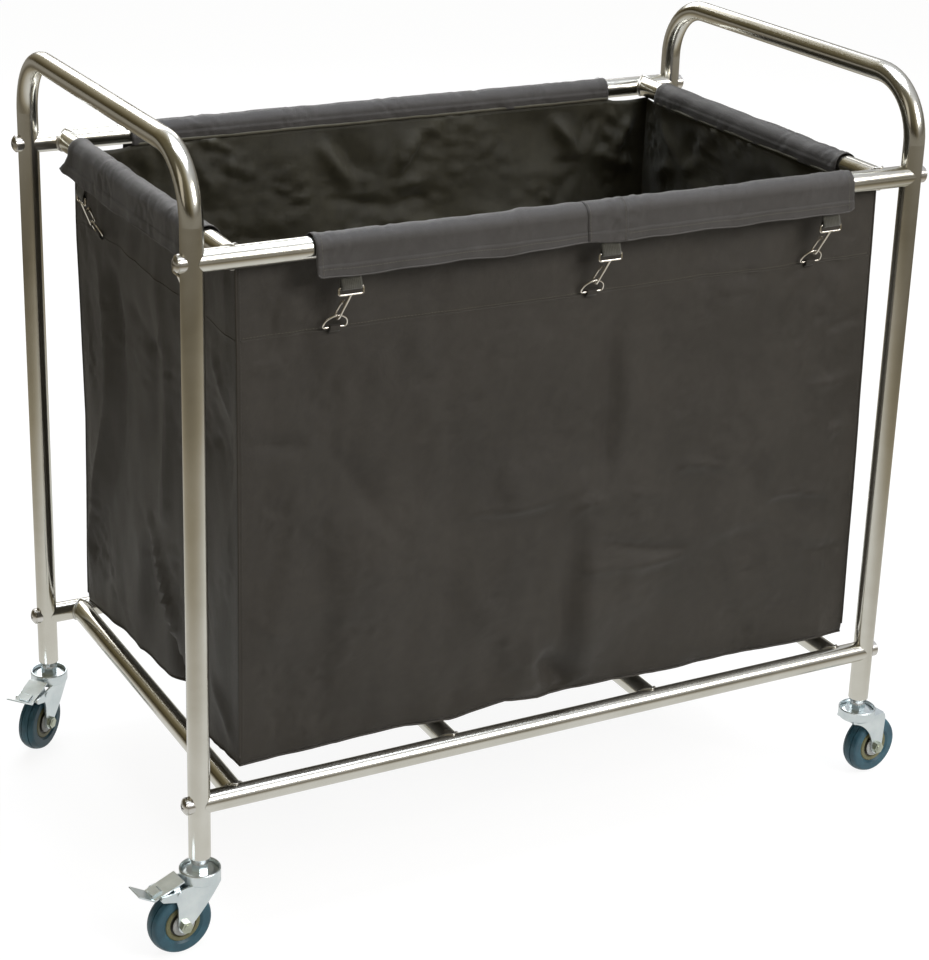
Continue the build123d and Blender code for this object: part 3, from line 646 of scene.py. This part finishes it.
def wall_base(side, t, z):
    """The sewn shape of a wall before its folds: points and outward normals."""
    x0, x1 = at_level([e[0] for e in FRONT_ENDS], z), at_level([e[1] for e in FRONT_ENDS], z)
    r0, r1 = at_level([e[0] for e in REAR_ENDS], z), at_level([e[1] for e in REAR_ENDS], z)
    fy, ry = at_level(FRONT_Y, z), at_level(REAR_Y, z)
    arch = 1 - (2 * t - 1) ** 4
    if side == "front":
        return np.stack([x0 + (x1 - x0) * t, fy, z], -1), (0, -1, 0)
    if side == "rear":
        return np.stack([r1 + (r0 - r1) * t, ry, z], -1), (0, 1, 0)
    if side == "right":
        corner = x1 + (r1 - x1) * t
        x = corner + (at_level(RIGHT_X, z) - corner) * arch
        return np.stack([x, fy + (ry - fy) * t, z], -1), (1, 0, 0)
    corner = r0 + (x0 - r0) * t
    x = corner + (at_level(LEFT_X, z) - corner) * arch
    return np.stack([x, ry + (fy - ry) * t, z], -1), (-1, 0, 0)


def wall_relief(side, along, z, t):
    """How far the cloth stands out from the sewn shape, in millimetres."""
    lay = np.stack([along, z], -1)
    seed = 10 * SIDES.index(side)
    tabs = CLIPS[side]
    slack = np.ones_like(z)
    pucker = np.zeros_like(z)
    for number, tab in enumerate(tabs):
        dx, dz = along - tab, z - TAB_LEVEL
        r = np.hypot(dx, dz)
        slack = np.minimum(slack, np.clip((np.hypot(dx, 0.8 * dz) - 9) / 30, 0, 1))
        spin = np.arctan2(dz, dx)
        rays = np.cos(7 * spin + seed + 2.2 * number) + 0.6 * np.cos(4 * spin + 1.3 * seed + number)
        pucker += PUCKER_DEPTH[side] * rays * np.exp(-r / 34) * np.clip(r / 16, 0, 1)
    top = np.clip((TOP_EDGE - z) / 26, 0, 1)
    edge = np.clip(np.minimum(t, 1 - t) / 0.05, 0, 1)
    low = np.clip((z - 196) / 20, 0, 1)
    broad = 3.4 * waves(lay, 310, seed + 1, 2) + 1.3 * waves(lay * (1.6, 0.7), 120, seed + 2, 2)
    crisp = waves(lay * (1, 1.2), 46, seed + 3, 3)
    patches = np.clip(waves(lay, 210, seed + 4, 2) + 0.35, 0, 1)
    crisp = CRISP_DEPTH[side] * (1 - 2.2 * np.abs(crisp)) * patches
    relief = broad * slack * top * (0.35 + 0.65 * edge) + crisp * slack * (0.3 + 0.7 * edge)
    for points, height, width, *kind in FOLDS[side]:
        relief += FOLD_DEPTH[side] * fold(along, z, points, height, width, *kind) * (0.25 + 0.75 * top)
    relief += pucker
    belly = 3.5 * np.sin(math.pi * t) * np.exp(-(((z - 330) / 130) ** 2))
    relief += belly * low
    relief += np.where(z > BAND_LEVEL, 0.7, 0.0)
    return relief * np.clip((np.hypot(edge * 40, 8)) / 40, 0, 1) * (1 - 0.9 * (1 - slack))


def build_bag():
    """One lofted shell: four walls with their floor, sewn at the corners."""
    rows = np.linspace(0, 1, WALL_ROWS)
    counts = {"front": NX, "right": NY, "rear": NX, "left": NY}
    columns = []
    for side in SIDES:
        for t in spaced(counts[side])[:-1]:
            columns.append((side, t))
    side_of = np.array([SIDES.index(s) for s, _ in columns])
    t_of = np.array([t for _, t in columns])
    total = len(columns)
    points = np.zeros((WALL_ROWS, total, 3))
    for k, side in enumerate(SIDES):
        pick = np.where(side_of == k)[0]
        t = t_of[pick]
        lower, _ = wall_base(side, t, np.full(len(t), 200.0))
        axis = 0 if side in ("front", "rear") else 1
        along0 = lower[:, axis]
        edge_z = np.interp(along0, *np.array(LOWER_EDGE[side]).T)
        sleeve = SLEEVES[side]
        top, _ = wall_base(side, t, np.full(len(t), TOP_EDGE))
        over = top[:, axis]
        inside = np.clip(np.minimum(over - sleeve[0], sleeve[1] - over) / 14, -1, 1)
        free = np.clip(-np.minimum(over - sleeve[0], sleeve[1] - over) / 60, 0, 1)
        top_z = TOP_EDGE - (1.5 + 2.0 * np.sin(math.pi * free)) * np.clip(-inside * 2, 0, 1)
        z = edge_z[None] + (top_z - edge_z)[None] * rows[:, None]
        tt = np.broadcast_to(t, z.shape)
        base, out = wall_base(side, tt.ravel(), z.ravel())
        along = base[:, axis]
        out = np.array(out, float)
        relief = wall_relief(side, along, z.ravel(), tt.ravel())
        tuck = 2.0 * np.exp(-(z.ravel() - np.repeat(edge_z[None], WALL_ROWS, 0).ravel()) / 5.0)
        shift = (relief - tuck)[:, None] * out
        points[:, pick] = (base + shift).reshape(WALL_ROWS, len(pick), 3)
    # a sewn corner takes its place from both walls, so its relief is eased round it
    for _ in range(2):
        for corner in (0, NX, NX + NY, 2 * NX + NY):
            for step in (0, -1, 1):
                c = (corner + step) % total
                points[:, c, :2] = 0.5 * points[:, c, :2] + 0.25 * (
                    points[:, (c - 1) % total, :2] + points[:, (c + 1) % total, :2]
                )
    ring = points[0]
    front, rside = ring[: NX + 1], ring[NX : NX + NY + 1]
    rear = ring[NX + NY : 2 * NX + NY + 1][::-1]
    lside = np.vstack([ring[2 * NX + NY :], ring[:1]])[::-1]
    u = spaced(NX)[None, :, None]
    v = spaced(NY)[:, None, None]
    floor = (
        (1 - v) * front[None] + v * rear[None] + (1 - u) * lside[:, None] + u * rside[:, None]
        - (1 - u) * (1 - v) * front[0] - u * (1 - v) * front[-1] - (1 - u) * v * rear[0] - u * v * rear[-1]
    )
    fx, fy = floor[..., 0], floor[..., 1]
    inset = np.clip(np.minimum.reduce([fx + 390, 430 - fx, fy + 237, 240 - fy]) / 55, 0, 1)
    rest = np.zeros_like(fx)
    for tube in (-INNER_TUBE_X, INNER_TUBE_X):
        rest = np.maximum(rest, np.exp(-((np.abs(fx - tube) / 42) ** 2)))
    ripple = waves(np.stack([fx.ravel(), fy.ravel()], -1), 170, 91, 2).reshape(fx.shape)
    sag = FLOOR_REST - FLOOR_SAG * (1 - rest) + ripple * (1 - rest)
    ease = 1 - (1 - inset) ** 2
    floor[..., 2] = floor[..., 2] * (1 - ease) + sag * ease
    return points, floor, run_along(points[GIRTH_ROW]), side_of, t_of


wall, floor_grid, girth, side_of, t_of = build_bag()
columns = wall.shape[1]
wall_uv = np.stack(np.broadcast_arrays(girth[None, :], wall[..., 2]), -1).reshape(-1, 2)
shell_points = [wall.reshape(-1, 3)]
shell_uv = [wall_uv]
shell_faces = grid_faces(WALL_ROWS, columns, closed=True)
count = WALL_ROWS * columns
inner = floor_grid[1:-1, 1:-1]
index = np.zeros(floor_grid.shape[:2], int)
index[1:-1, 1:-1] = count + np.arange(inner.shape[0] * inner.shape[1]).reshape(inner.shape[:2])
index[0, :] = np.arange(NX + 1)
index[:, -1] = NX + np.arange(NY + 1)
index[-1, :] = (NX + NY + np.arange(NX + 1))[::-1]
index[:, 0] = ((2 * NX + NY + np.arange(NY + 1)) % columns)[::-1]
shell_points.append(inner.reshape(-1, 3))
shell_uv.append(inner.reshape(-1, 3)[:, :2])
for j in range(NY):
    for i in range(NX):
        shell_faces.append((index[j, i], index[j + 1, i], index[j + 1, i + 1], index[j, i + 1]))
bag = piece(
    "bag_shell", np.vstack(shell_points), shell_faces, wall_cloth, "bag_cloth", uv=np.vstack(shell_uv)
)
bag.data.materials.append(inside_cloth)
thicken(bag, WALL_CLOTH, -1.0)
bag.modifiers["thickness"].material_offset = 1
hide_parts("bag_front_panel", "bag_rear_panel", "bag_left_panel", "bag_right_panel", "bag_floor_panel")


def wall_line(side, z, start=0.0, end=1.0, lift=0.0):
    """Points along the finished wall at one height, and its outward direction."""
    pick = np.where((side_of == SIDES.index(side)) & (t_of >= start) & (t_of <= end))[0]
    if end >= 1.0:
        pick = np.append(pick, (pick[-1] + 1) % columns)
    line = np.zeros((len(pick), 3))
    for n, c in enumerate(pick):
        column = wall[:, c]
        line[n] = [np.interp(z, column[:, 2], column[:, a]) for a in (0, 1)] + [z]
    out = np.array(OUTWARD[side], float)
    return line + lift * out, out


def cloth_bead(name, parts, material):
    """Rolled or turned cloth, too thin for its weave to be laid out: one point of the weave's map."""
    points, faces = joined(parts)
    return piece(name, points, faces, material, "bag_cloth", uv=np.full((len(points), 2), 0.5))


# the doubled band's lower edge, with its row of stitches
parts = []
for side in SIDES:
    line, out = wall_line(side, BAND_LEVEL + 3.0, 0.006, 0.994)
    parts.append(stitch_row(line, out, pitch=4.0, length=2.9, radius=0.36))
piece("band_stitching", *joined(parts), thread_olive, "bag_cloth")
parts = []
for side in SIDES:
    line, out = wall_line(side, BAND_LEVEL, 0.004, 0.996)
    parts.append(bead_mesh(line, out, 0.75, sides=6, flatten=0.75))
cloth_bead("band_edge", parts, wall_cloth)

# corner seams: a narrow turned ridge down each sewn corner, with stitches beside it
ridges, rows_of_stitches = [], []
for corner, out in ((0, (-1, -1, 0)), (NX, (1, -1, 0)), (NX + NY, (1, 1, 0)), (2 * NX + NY, (-1, 1, 0))):
    out = np.array(out, float) / math.sqrt(2)
    line = wall[2:, corner] + 0.3 * out
    ridges.append(bead_mesh(line, out, 1.25, sides=8))
    for step in (3, -3):
        beside = wall[3:, (corner + step) % columns]
        rows_of_stitches.append(stitch_row(beside, out, pitch=4.2, length=3.0, radius=0.34))
cloth_bead("corner_seams", ridges, wall_cloth)
piece("corner_stitching", *joined(rows_of_stitches), thread_dark, "bag_cloth")
cloth_bead("bottom_seam", [bead_mesh(wall[0], (0, 0, 1), 1.3, sides=8, closed=True)], wall_cloth)

# ================================================================ sleeves over the top tubes
INNER_DROP, OUTER_DROP, WRAP_R = 11.5, 28.0, 13.3
STITCH_LIFT = 0.85        # from a sleeve's sheet to its outer face
BINDING = [(-2.0, -11.9), (-2.9, -11.4), (-2.9, -8.8), (-2.0, -8.3)]   # out from the wrap, and height
SLEEVE_STEP = 3.4         # cells along a sleeve
JOIN_START, JOIN_END, JOIN_LIFT = 1, 54, 1.05
THIN_CLOTH = 0.5


def sleeve_frame(side):
    """Middle of the tube, the direction along it and the direction outwards."""
    if side in ("front", "rear"):
        way = -1 if side == "front" else 1
        return np.array([0, way * RAIL_Y, RAIL_Z]), np.array([1.0, 0, 0]), np.array([0, way, 0.0])
    way = -1 if side == "left" else 1
    return np.array([way * SIDE_X, 0, RAIL_Z]), np.array([0, 1.0, 0]), np.array([way, 0, 0.0])


def sleeve_profile():
    """(out, up, arc length) from the inner edge, over the tube, to the flap's lower edge."""
    pts = [(-WRAP_R - 1.1, -z) for z in np.linspace(INNER_DROP, 2, 9)]
    pts += [(-WRAP_R * math.cos(a), WRAP_R * math.sin(a)) for a in np.linspace(0.08, math.pi - 0.1, 26)]
    pts += [(WRAP_R + 1.6 * (z / OUTER_DROP) ** 1.5, -z) for z in np.linspace(1.5, OUTER_DROP, 12)]
    pts = np.array(pts)
    run = run_along(pts)
    fine = np.linspace(0, run[-1], 76)
    return np.interp(fine, run, pts[:, 0]), np.interp(fine, run, pts[:, 1]), fine


def build_sleeve(side):
    start, end = SLEEVES[side]
    middle, way, outward = sleeve_frame(side)
    out, rise, arc = sleeve_profile()
    length = end - start
    s = np.linspace(0, length, int(length / SLEEVE_STEP) + 1)
    along, across = np.meshgrid(s, arc, indexing="ij")
    out_by = np.broadcast_to(out, along.shape).copy()
    up_by = np.broadcast_to(rise, along.shape).copy()
    norm_o, norm_z = np.gradient(rise), -np.gradient(out)
    size = np.hypot(norm_o, norm_z)
    norm_o, norm_z = -norm_o / size, -norm_z / size
    seed = 40 + 10 * SIDES.index(side)
    lay = np.stack([along.ravel(), across.ravel()], -1)
    slant = lay @ np.array([[1.0, 0.25], [0.35, 1.0]])
    pull = waves(slant * (1.0, 0.55), 62, seed, 2)
    soft = waves(lay * (0.7, 1.0), 150, seed + 1, 2)
    crisp = 1 - 2.0 * np.abs(waves(slant * (1.2, 0.6), 30, seed + 2, 2))
    where = np.clip(waves(lay, 120, seed + 3, 2) + 0.3, 0, 1)
    relief = (0.6 * (pull + 1) + 0.35 * (soft + 1) + 0.6 * crisp * where).reshape(along.shape)
    relief = np.maximum(relief, 0)
    from_edge = arc[-1] - across
    hem = np.where(from_edge < 11, 0.75, 0.0) + np.where((along < 9) | (along > length - 9), 0.6, 0.0)
    for clip in CLIPS[side]:
        at = clip - start
        gap = np.abs(along - at)
        relief += 0.5 * np.exp(-((gap / 15) ** 2)) * np.clip(1 - from_edge / 30, 0, 1)
        pleat = np.cos((along - at) / 7.0) * np.exp(-((gap / 34) ** 2)) * np.clip(1 - from_edge / 55, 0, 1)
        relief += 0.5 * pleat
    relief = np.maximum(relief, 0) + hem
    ripple = 1.4 * waves(lay, 95, seed + 5, 2).reshape(along.shape) * np.clip(1 - from_edge / 26, 0, 1)
    flare = np.clip(1 - from_edge / 26, 0, 1) ** 1.5
    out_by += norm_o * relief + np.maximum(ripple + 0.8, 0) * flare
    up_by += norm_z * relief
    scallop = 1.6 * waves(lay, 130, seed + 6, 2).reshape(along.shape)
    up_by -= np.clip(1 - from_edge / 20, 0, 1) * (scallop + 0.6)
    corner = 7.0
    for edge in (0, length):
        near = np.clip(1 - np.abs(along - edge) / corner, 0, 1)
        up_by += near**2 * corner * np.clip(1 - from_edge / 12, 0, 1) * 0.55
    if side == "left":
        tip = np.clip(1 - (length - along) / 45, 0, 1) ** 2 * np.clip(1 - from_edge / 24, 0, 1)
        along = along + 15 * tip
        out_by += 3 * tip
    points = middle + (start + along)[..., None] * way + out_by[..., None] * outward
    points[..., 2] += up_by
    flip = np.dot(np.cross(way, outward), (0, 0, 1)) > 0
    rows, cols = along.shape
    faces = grid_faces(rows, cols)
    if flip:
        faces = [f[::-1] for f in faces]
    made = piece(
        f"{side}_sleeve_cloth", points.reshape(-1, 3), faces, sleeve_cloth, "bag_cloth",
        uv=np.stack([along.ravel(), across.ravel()], -1),
    )
    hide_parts(f"{side}_sleeve")
    return made, points


def surface_normals(points):
    du, dv = np.gradient(points, axis=0), np.gradient(points, axis=1)
    n = np.cross(du, dv)
    return n / np.linalg.norm(n, axis=-1)[..., None]


sleeve_points = {}
for side in SIDES:
    made, points = build_sleeve(side)
    sleeve_points[side] = points
    middle, way, outward = sleeve_frame(side)
    normals = surface_normals(points)
    if np.mean((points - middle) @ outward * (normals @ outward)) < 0:
        normals = -normals
    if made.data.polygons[len(made.data.polygons) // 2].normal[2] < 0:
        made.data.flip_normals()
    thicken(made, SLEEVE_CLOTH, 1.0)
    last = points.shape[1] - 1
    lines = [np.s_[2:-2, last - 7], np.s_[2, 12:-2], np.s_[len(points) - 3, 12:-2]]
    lifted = points + STITCH_LIFT * normals
    rows = [stitch_row(lifted[line], normals[line], pitch=3.6) for line in lines]
    piece(f"{side}_sleeve_stitching", *joined(rows), thread_olive, "bag_cloth")
    edge = points[:, last] + 0.4 * normals[:, last]
    cloth_bead(f"{side}_sleeve_hem", [bead_mesh(edge, normals[:, last], 0.95, sides=8)], sleeve_cloth)

# a pale binding inside the bag, where each sleeve is sewn to its wall
for side in SIDES:
    start, end = SLEEVES[side]
    middle, way, outward = sleeve_frame(side)
    s = np.linspace(start + 1, end - 1, 90)
    wobble = 0.25 * np.sin(s / 23.0) + 0.15 * np.sin(s / 7.1)
    strip = []
    for out, rise in BINDING:
        place = middle + s[:, None] * way + (out - WRAP_R) * outward
        strip.append(place + np.stack([0 * s, 0 * s, rise + wobble], -1))
    points = np.stack(strip, 0)
    made = piece(
        f"{side}_binding", points.reshape(-1, 3), grid_faces(4, len(s)), band_cloth, "bag_cloth",
        uv=np.stack(np.meshgrid(np.arange(4.0), s, indexing="ij"), -1).reshape(-1, 2),
    )
    thicken(made, THIN_CLOTH, 0.0)

# the front sleeve's two lengths of cloth overlap above the middle hook
middle, way, outward = sleeve_frame("front")
source = sleeve_points["front"]
pick = np.where((source[:, 0, 0] >= JOIN_START) & (source[:, 0, 0] <= JOIN_END))[0]
normals = surface_normals(source)
if (normals[5, 40] @ np.array([0, 0, 1.0])) < 0:
    normals = -normals
patch = (source + JOIN_LIFT * normals)[pick, 8:]
made = piece(
    "front_sleeve_join", patch.reshape(-1, 3), grid_faces(*patch.shape[:2]), sleeve_cloth, "bag_cloth",
    uv=np.indices(patch.shape[:2]).reshape(2, -1).T * (SLEEVE_STEP, 1.3),
)
thicken(made, THIN_CLOTH, 0.0)
rows = []
for row in (1, -2):
    lifted = patch[row] + 0.5 * normals[pick, 8:][row]
    rows.append(stitch_row(lifted, normals[pick, 8:][row], pitch=3.6))
piece("front_join_stitching", *joined(rows), thread_olive, "bag_cloth")

# ================================================================ webbing loops and ring tabs
def clip_frames():
    """Each clip: name, origin on the tube, direction along the rail, outward direction."""
    for side, places in CLIPS.items():
        middle, way, outward = sleeve_frame(side)
        along = {"front": 1, "rear": -1, "left": -1, "right": 1}[side] * way
        for number, place in enumerate(places, 1):
            yield f"{side}_{number}", middle + place * way, along, outward


def near_points(node, at, reach):
    all_points = node_points(node) / MM
    return all_points[np.linalg.norm((all_points - at)[:, :2], axis=1) < reach]


def ribbon(path, width, thickness, origin, along, outward, soften=0.35):
    """A flat strap along a path of (out, up) points in the plane across the rail."""
    path = np.asarray(path, float)
    across = np.linspace(-0.5, 0.5, 9) * width
    tangent = np.gradient(path, axis=0)
    tangent /= np.linalg.norm(tangent, axis=1)[:, None]
    normal = np.stack([-tangent[:, 1], tangent[:, 0]], -1)
    run = run_along(path)
    sheets = []
    for half in (0.5, -0.5):
        lift = half * (thickness - soften * (2 * across / width) ** 2)
        sheets.append(path[:, None] + normal[:, None] * lift[None, :, None])
    outline = np.concatenate([sheets[0], sheets[1][:, ::-1]], axis=1)
    spread = np.concatenate([across, across[::-1]])
    count = len(spread)
    points = (
        origin
        + spread[None, :, None] * along
        + outline[..., :1] * outward
        + outline[..., 1:] * np.array([0, 0, 1.0])
    )
    faces = grid_faces(len(path), count, closed=True)
    faces += [tuple(range(count))[::-1], tuple(range((len(path) - 1) * count, len(path) * count))]
    uv = np.stack(np.broadcast_arrays(spread[None, :], run[:, None]), -1).reshape(-1, 2)
    return points.reshape(-1, 3), faces, uv


def box_stitch(low, high, half, origin, along, outward, out, normal_sign=1.0):
    """The square of stitches that closes a loop of webbing."""
    corners = [(-half, low), (half, low), (half, high), (-half, high), (-half, low)]
    parts = []
    for (x0, z0), (x1, z1) in zip(corners, corners[1:]):
        t = np.linspace(0, 1, 12)[:, None]
        flat = np.hstack([x0 + (x1 - x0) * t, z0 + (z1 - z0) * t])
        line = origin + flat[:, :1] * along + out * outward + flat[:, 1:] * np.array([0, 0, 1.0])
        parts.append(stitch_row(line, normal_sign * outward, pitch=2.6, length=1.9, radius=0.28))
    return joined(parts)


LOOP_OUT, LOOP_UP, LOOP_R = 15.4, -42.5, 2.35
LOOP_WIDTH, LOOP_THICK = 24.0, 1.15
TAB_R, TAB_WIDTH, TAB_THICK = 1.95, 12.5, 1.1
FACE = -10.9              # the wall's outer face, from the tube's middle
loop_parts, loop_uv, tab_parts, tab_uv, loop_thread = [], [], [], [], []
for name, origin, along, outward in clip_frames():
    turn_by = np.linspace(0.15, math.pi - 0.15, 12)
    around = [(LOOP_OUT + LOOP_R * math.cos(-a), LOOP_UP + LOOP_R * math.sin(-a)) for a in turn_by]
    front_run = [(13.3, -17.0), (13.35, -24.0), (13.9, -30.0), (15.6, -35.0), (17.3, -39.0), (17.75, -41.5)]
    back_run = [(13.05, -41.5), (12.9, -39.0), (13.0, -35.0), (12.5, -30.0), (11.9, -24.0), (11.8, -17.0)]
    path = smoothed(front_run + around + back_run, 60)
    p, f, uv = ribbon(path, LOOP_WIDTH, LOOP_THICK, origin, along, outward)
    loop_parts.append((p, f))
    loop_uv.append(uv)
    loop_thread.append(box_stitch(-35.5, -30.5, 9.0, origin, along, outward, 15.6))
    ring = near_points("d_rings", origin, 45)
    low = ring[:, 2].min()
    bar = ring[ring[:, 2] < low + 2.0]
    centre = bar.mean(0)
    shift = (centre - origin) @ along
    bar_out = (centre - origin) @ outward
    bar_up = low + 1.15 - origin[2]
    base = origin + shift * along
    turn_by = np.linspace(0.1, math.pi * 0.9, 11)
    around = [(bar_out + TAB_R * math.cos(a), bar_up + TAB_R * math.sin(a)) for a in turn_by]
    outer_run = [(FACE + 1.9, bar_up - 6.5), (FACE + 2.0, bar_up - 5.0), (bar_out + 1.5, bar_up - 3.2)]
    inner_run = [(FACE + 0.65, bar_up - 3.2), (FACE + 0.6, bar_up - 5.0), (FACE + 0.6, bar_up - 6.5)]
    path = smoothed(outer_run + around + inner_run, 48)
    p, f, uv = ribbon(path, TAB_WIDTH, TAB_THICK, base, along, outward)
    tab_parts.append((p, f))
    tab_uv.append(uv)
    across = np.linspace(-4.5, 4.5, 12)[:, None] * along
    row = base + across + (FACE + 2.5) * outward + (0, 0, bar_up - 5.2)
    loop_thread.append(stitch_row(row, outward, pitch=2.6, length=1.9, radius=0.28))
made = piece("hook_loops", *joined(loop_parts), web_finish, "webbing", uv=np.vstack(loop_uv))
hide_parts("webbing_loops")
piece("ring_tabs", *joined(tab_parts), wall_cloth, "webbing", uv=np.vstack(tab_uv))
piece("webbing_stitching", *joined(loop_thread), thread_olive, "webbing")

# ================================================================ weld beads
def saddle_bead(centre, along, rail_way, radius=TUBE_R, bead=1.5):
    """A rippled weld where a tube's end meets a tube of the same size."""
    turn_by = np.linspace(0, 2 * math.pi, 96, endpoint=False)
    side = np.array(rail_way, float)
    up_way = np.array([0, 0, 1.0])
    depth = np.sqrt(np.maximum(radius**2 - (radius * np.sin(turn_by)) ** 2, 0)) + 0.6
    grown = radius + 0.5
    line = (
        centre
        + grown * np.cos(turn_by)[:, None] * side
        + grown * np.sin(turn_by)[:, None] * up_way
        + depth[:, None] * along
    )
    out = np.cos(turn_by)[:, None] * side + np.sin(turn_by)[:, None] * up_way
    ripple = bead * (1 + 0.16 * np.sin(turn_by * 33) + 0.1 * np.sin(turn_by * 5 + 1))
    return bead_mesh(line, out, ripple, sides=8, closed=True)


welds = [(x, RAIL_Z) for x in (-SIDE_X, SIDE_X)]
welds += [(x, LOW_RAIL_Z) for x in (-SIDE_X, -INNER_TUBE_X, INNER_TUBE_X, SIDE_X)]
parts = []
for x, z in welds:
    for way in (-1, 1):
        centre = np.array([x, way * RAIL_Y, z], float)
        parts.append(saddle_bead(centre, np.array([0, -way, 0.0]), (1, 0, 0)))
piece("weld_beads", *joined(parts), weld_finish, "tube_steel")

# ================================================================ floor, light and world
FLOOR_REACH, FLOOR_HALF = 5.0, 40    # metres: where the floor's colour ramp ends, and the floor's half width


def floor_finish():
    """A pale floor that partly glows to the camera; to reflections it glows with a ramp that darkens and
    warms with distance, a painted reflection.
    """
    n = Nodes("studio_floor")
    flat = n.scaled(n.place(), (1, 1, 0))
    reach = n.add("VectorMath", {0: flat}, operation="LENGTH").outputs["Value"]
    # painted reflection: glossy rays see this glowing ramp instead of the lit floor
    far = n.ramp(
        n.math("MULTIPLY", reach, 1 / FLOOR_REACH),
        [
            (0.14, (0.80, 0.80, 0.78)),
            (0.32, (0.36, 0.32, 0.24)),
            (0.5, (0.13, 0.11, 0.075)),
            (0.9, (0.30, 0.28, 0.24)),
        ],
    )
    pale = n.add("BsdfDiffuse", {"Color": (0.87, 0.87, 0.865, 1)}).outputs[0]
    mirrored = n.add("Emission", {"Color": far, "Strength": 0.95}).outputs[0]
    ray = n.add("LightPath").outputs
    glow = n.add("Emission", {"Color": (1, 1, 1, 1), "Strength": 1.1}).outputs[0]
    share = n.math("MULTIPLY", ray["Is Camera Ray"], 0.82)
    seen = n.add("MixShader", {0: share, 1: pale, 2: glow}).outputs[0]
    blend = n.add("MixShader", {0: ray["Is Glossy Ray"], 1: seen, 2: mirrored}).outputs[0]
    n.put(n.tree.nodes["Material Output"], "Surface", blend)
    return n.material


def studio_world():
    """White to the camera; as light it is dimmer below and, towards the left, dark and brown."""
    n = Nodes("studio", bpy.data.worlds, "Background")
    split = n.add("SeparateXYZ", {0: n.add("TexCoord").outputs["Generated"]})
    by_height = n.ramp(
        split.outputs["Z"],
        [
            (0, (0.22, 0.20, 0.16)),
            (0.10, (0.30, 0.28, 0.24)),
            (0.30, (0.72, 0.72, 0.72)),
            (0.75, (0.86, 0.88, 0.92)),
            (1, (0.86, 0.88, 0.92)),
        ],
    )
    by_side = n.ramp(
        n.math("MULTIPLY_ADD", split.outputs["X"], 0.5, 0.5),
        [
            (0, (0.12, 0.10, 0.06)),
            (0.12, (0.16, 0.14, 0.09)),
            (0.30, (0.20, 0.165, 0.085)),
            (0.46, (0.58, 0.52, 0.38)),
            (0.6, (1, 1, 1)),
            (1, (0.6, 0.6, 0.6)),
        ],
    )
    light = n.mix(1.0, by_height, by_side, "MULTIPLY")
    to_camera = n.add("LightPath").outputs["Is Camera Ray"]
    n.set(Color=n.mix(to_camera, light, (1.12, 1.12, 1.12)), Strength=0.9)
    return n.material


floor_mesh = bpy.data.meshes.new("studio_floor")
floor_corners = [(x * FLOOR_HALF, y * FLOOR_HALF, 0) for x, y in ((-1, -1), (1, -1), (1, 1), (-1, 1))]
floor_mesh.from_pydata(floor_corners, [], [(0, 1, 2, 3)])
floor_mesh.materials.append(floor_finish())
floor = bpy.data.objects.new("studio_floor", floor_mesh)
bpy.context.scene.collection.objects.link(floor)
bpy.context.scene.world = studio_world()


def softbox(name, at, size, energy, colour=(1, 1, 1), look_at=(0, 0, 0.5)):
    light = bpy.data.lights.new(name, "AREA")
    light.shape = "RECTANGLE"
    light.size, light.size_y = size
    light.energy = energy
    light.color = colour
    made = bpy.data.objects.new(name, light)
    bpy.context.scene.collection.objects.link(made)
    made.location = at
    made.rotation_mode = "QUATERNION"
    made.rotation_quaternion = (Vector(look_at) - Vector(at)).to_track_quat("-Z", "Y")


softbox("overhead", (0.2, 0.2, 3.4), (2.6, 2.0), 98, (0.84, 0.9, 1.0))
softbox("key", (1.6, -2.9, 2.6), (1.8, 1.4), 84, (1.0, 0.975, 0.95))
softbox("left_fill", (-3.0, -0.6, 1.9), (1.2, 1.8), 4, (1.0, 0.93, 0.8))
softbox("rear_fill", (0.8, 3.0, 2.2), (2.4, 1.2), 30)

view = bpy.context.scene.view_settings
view.view_transform = "Standard"
view.look = "None"
view.exposure = 0.0
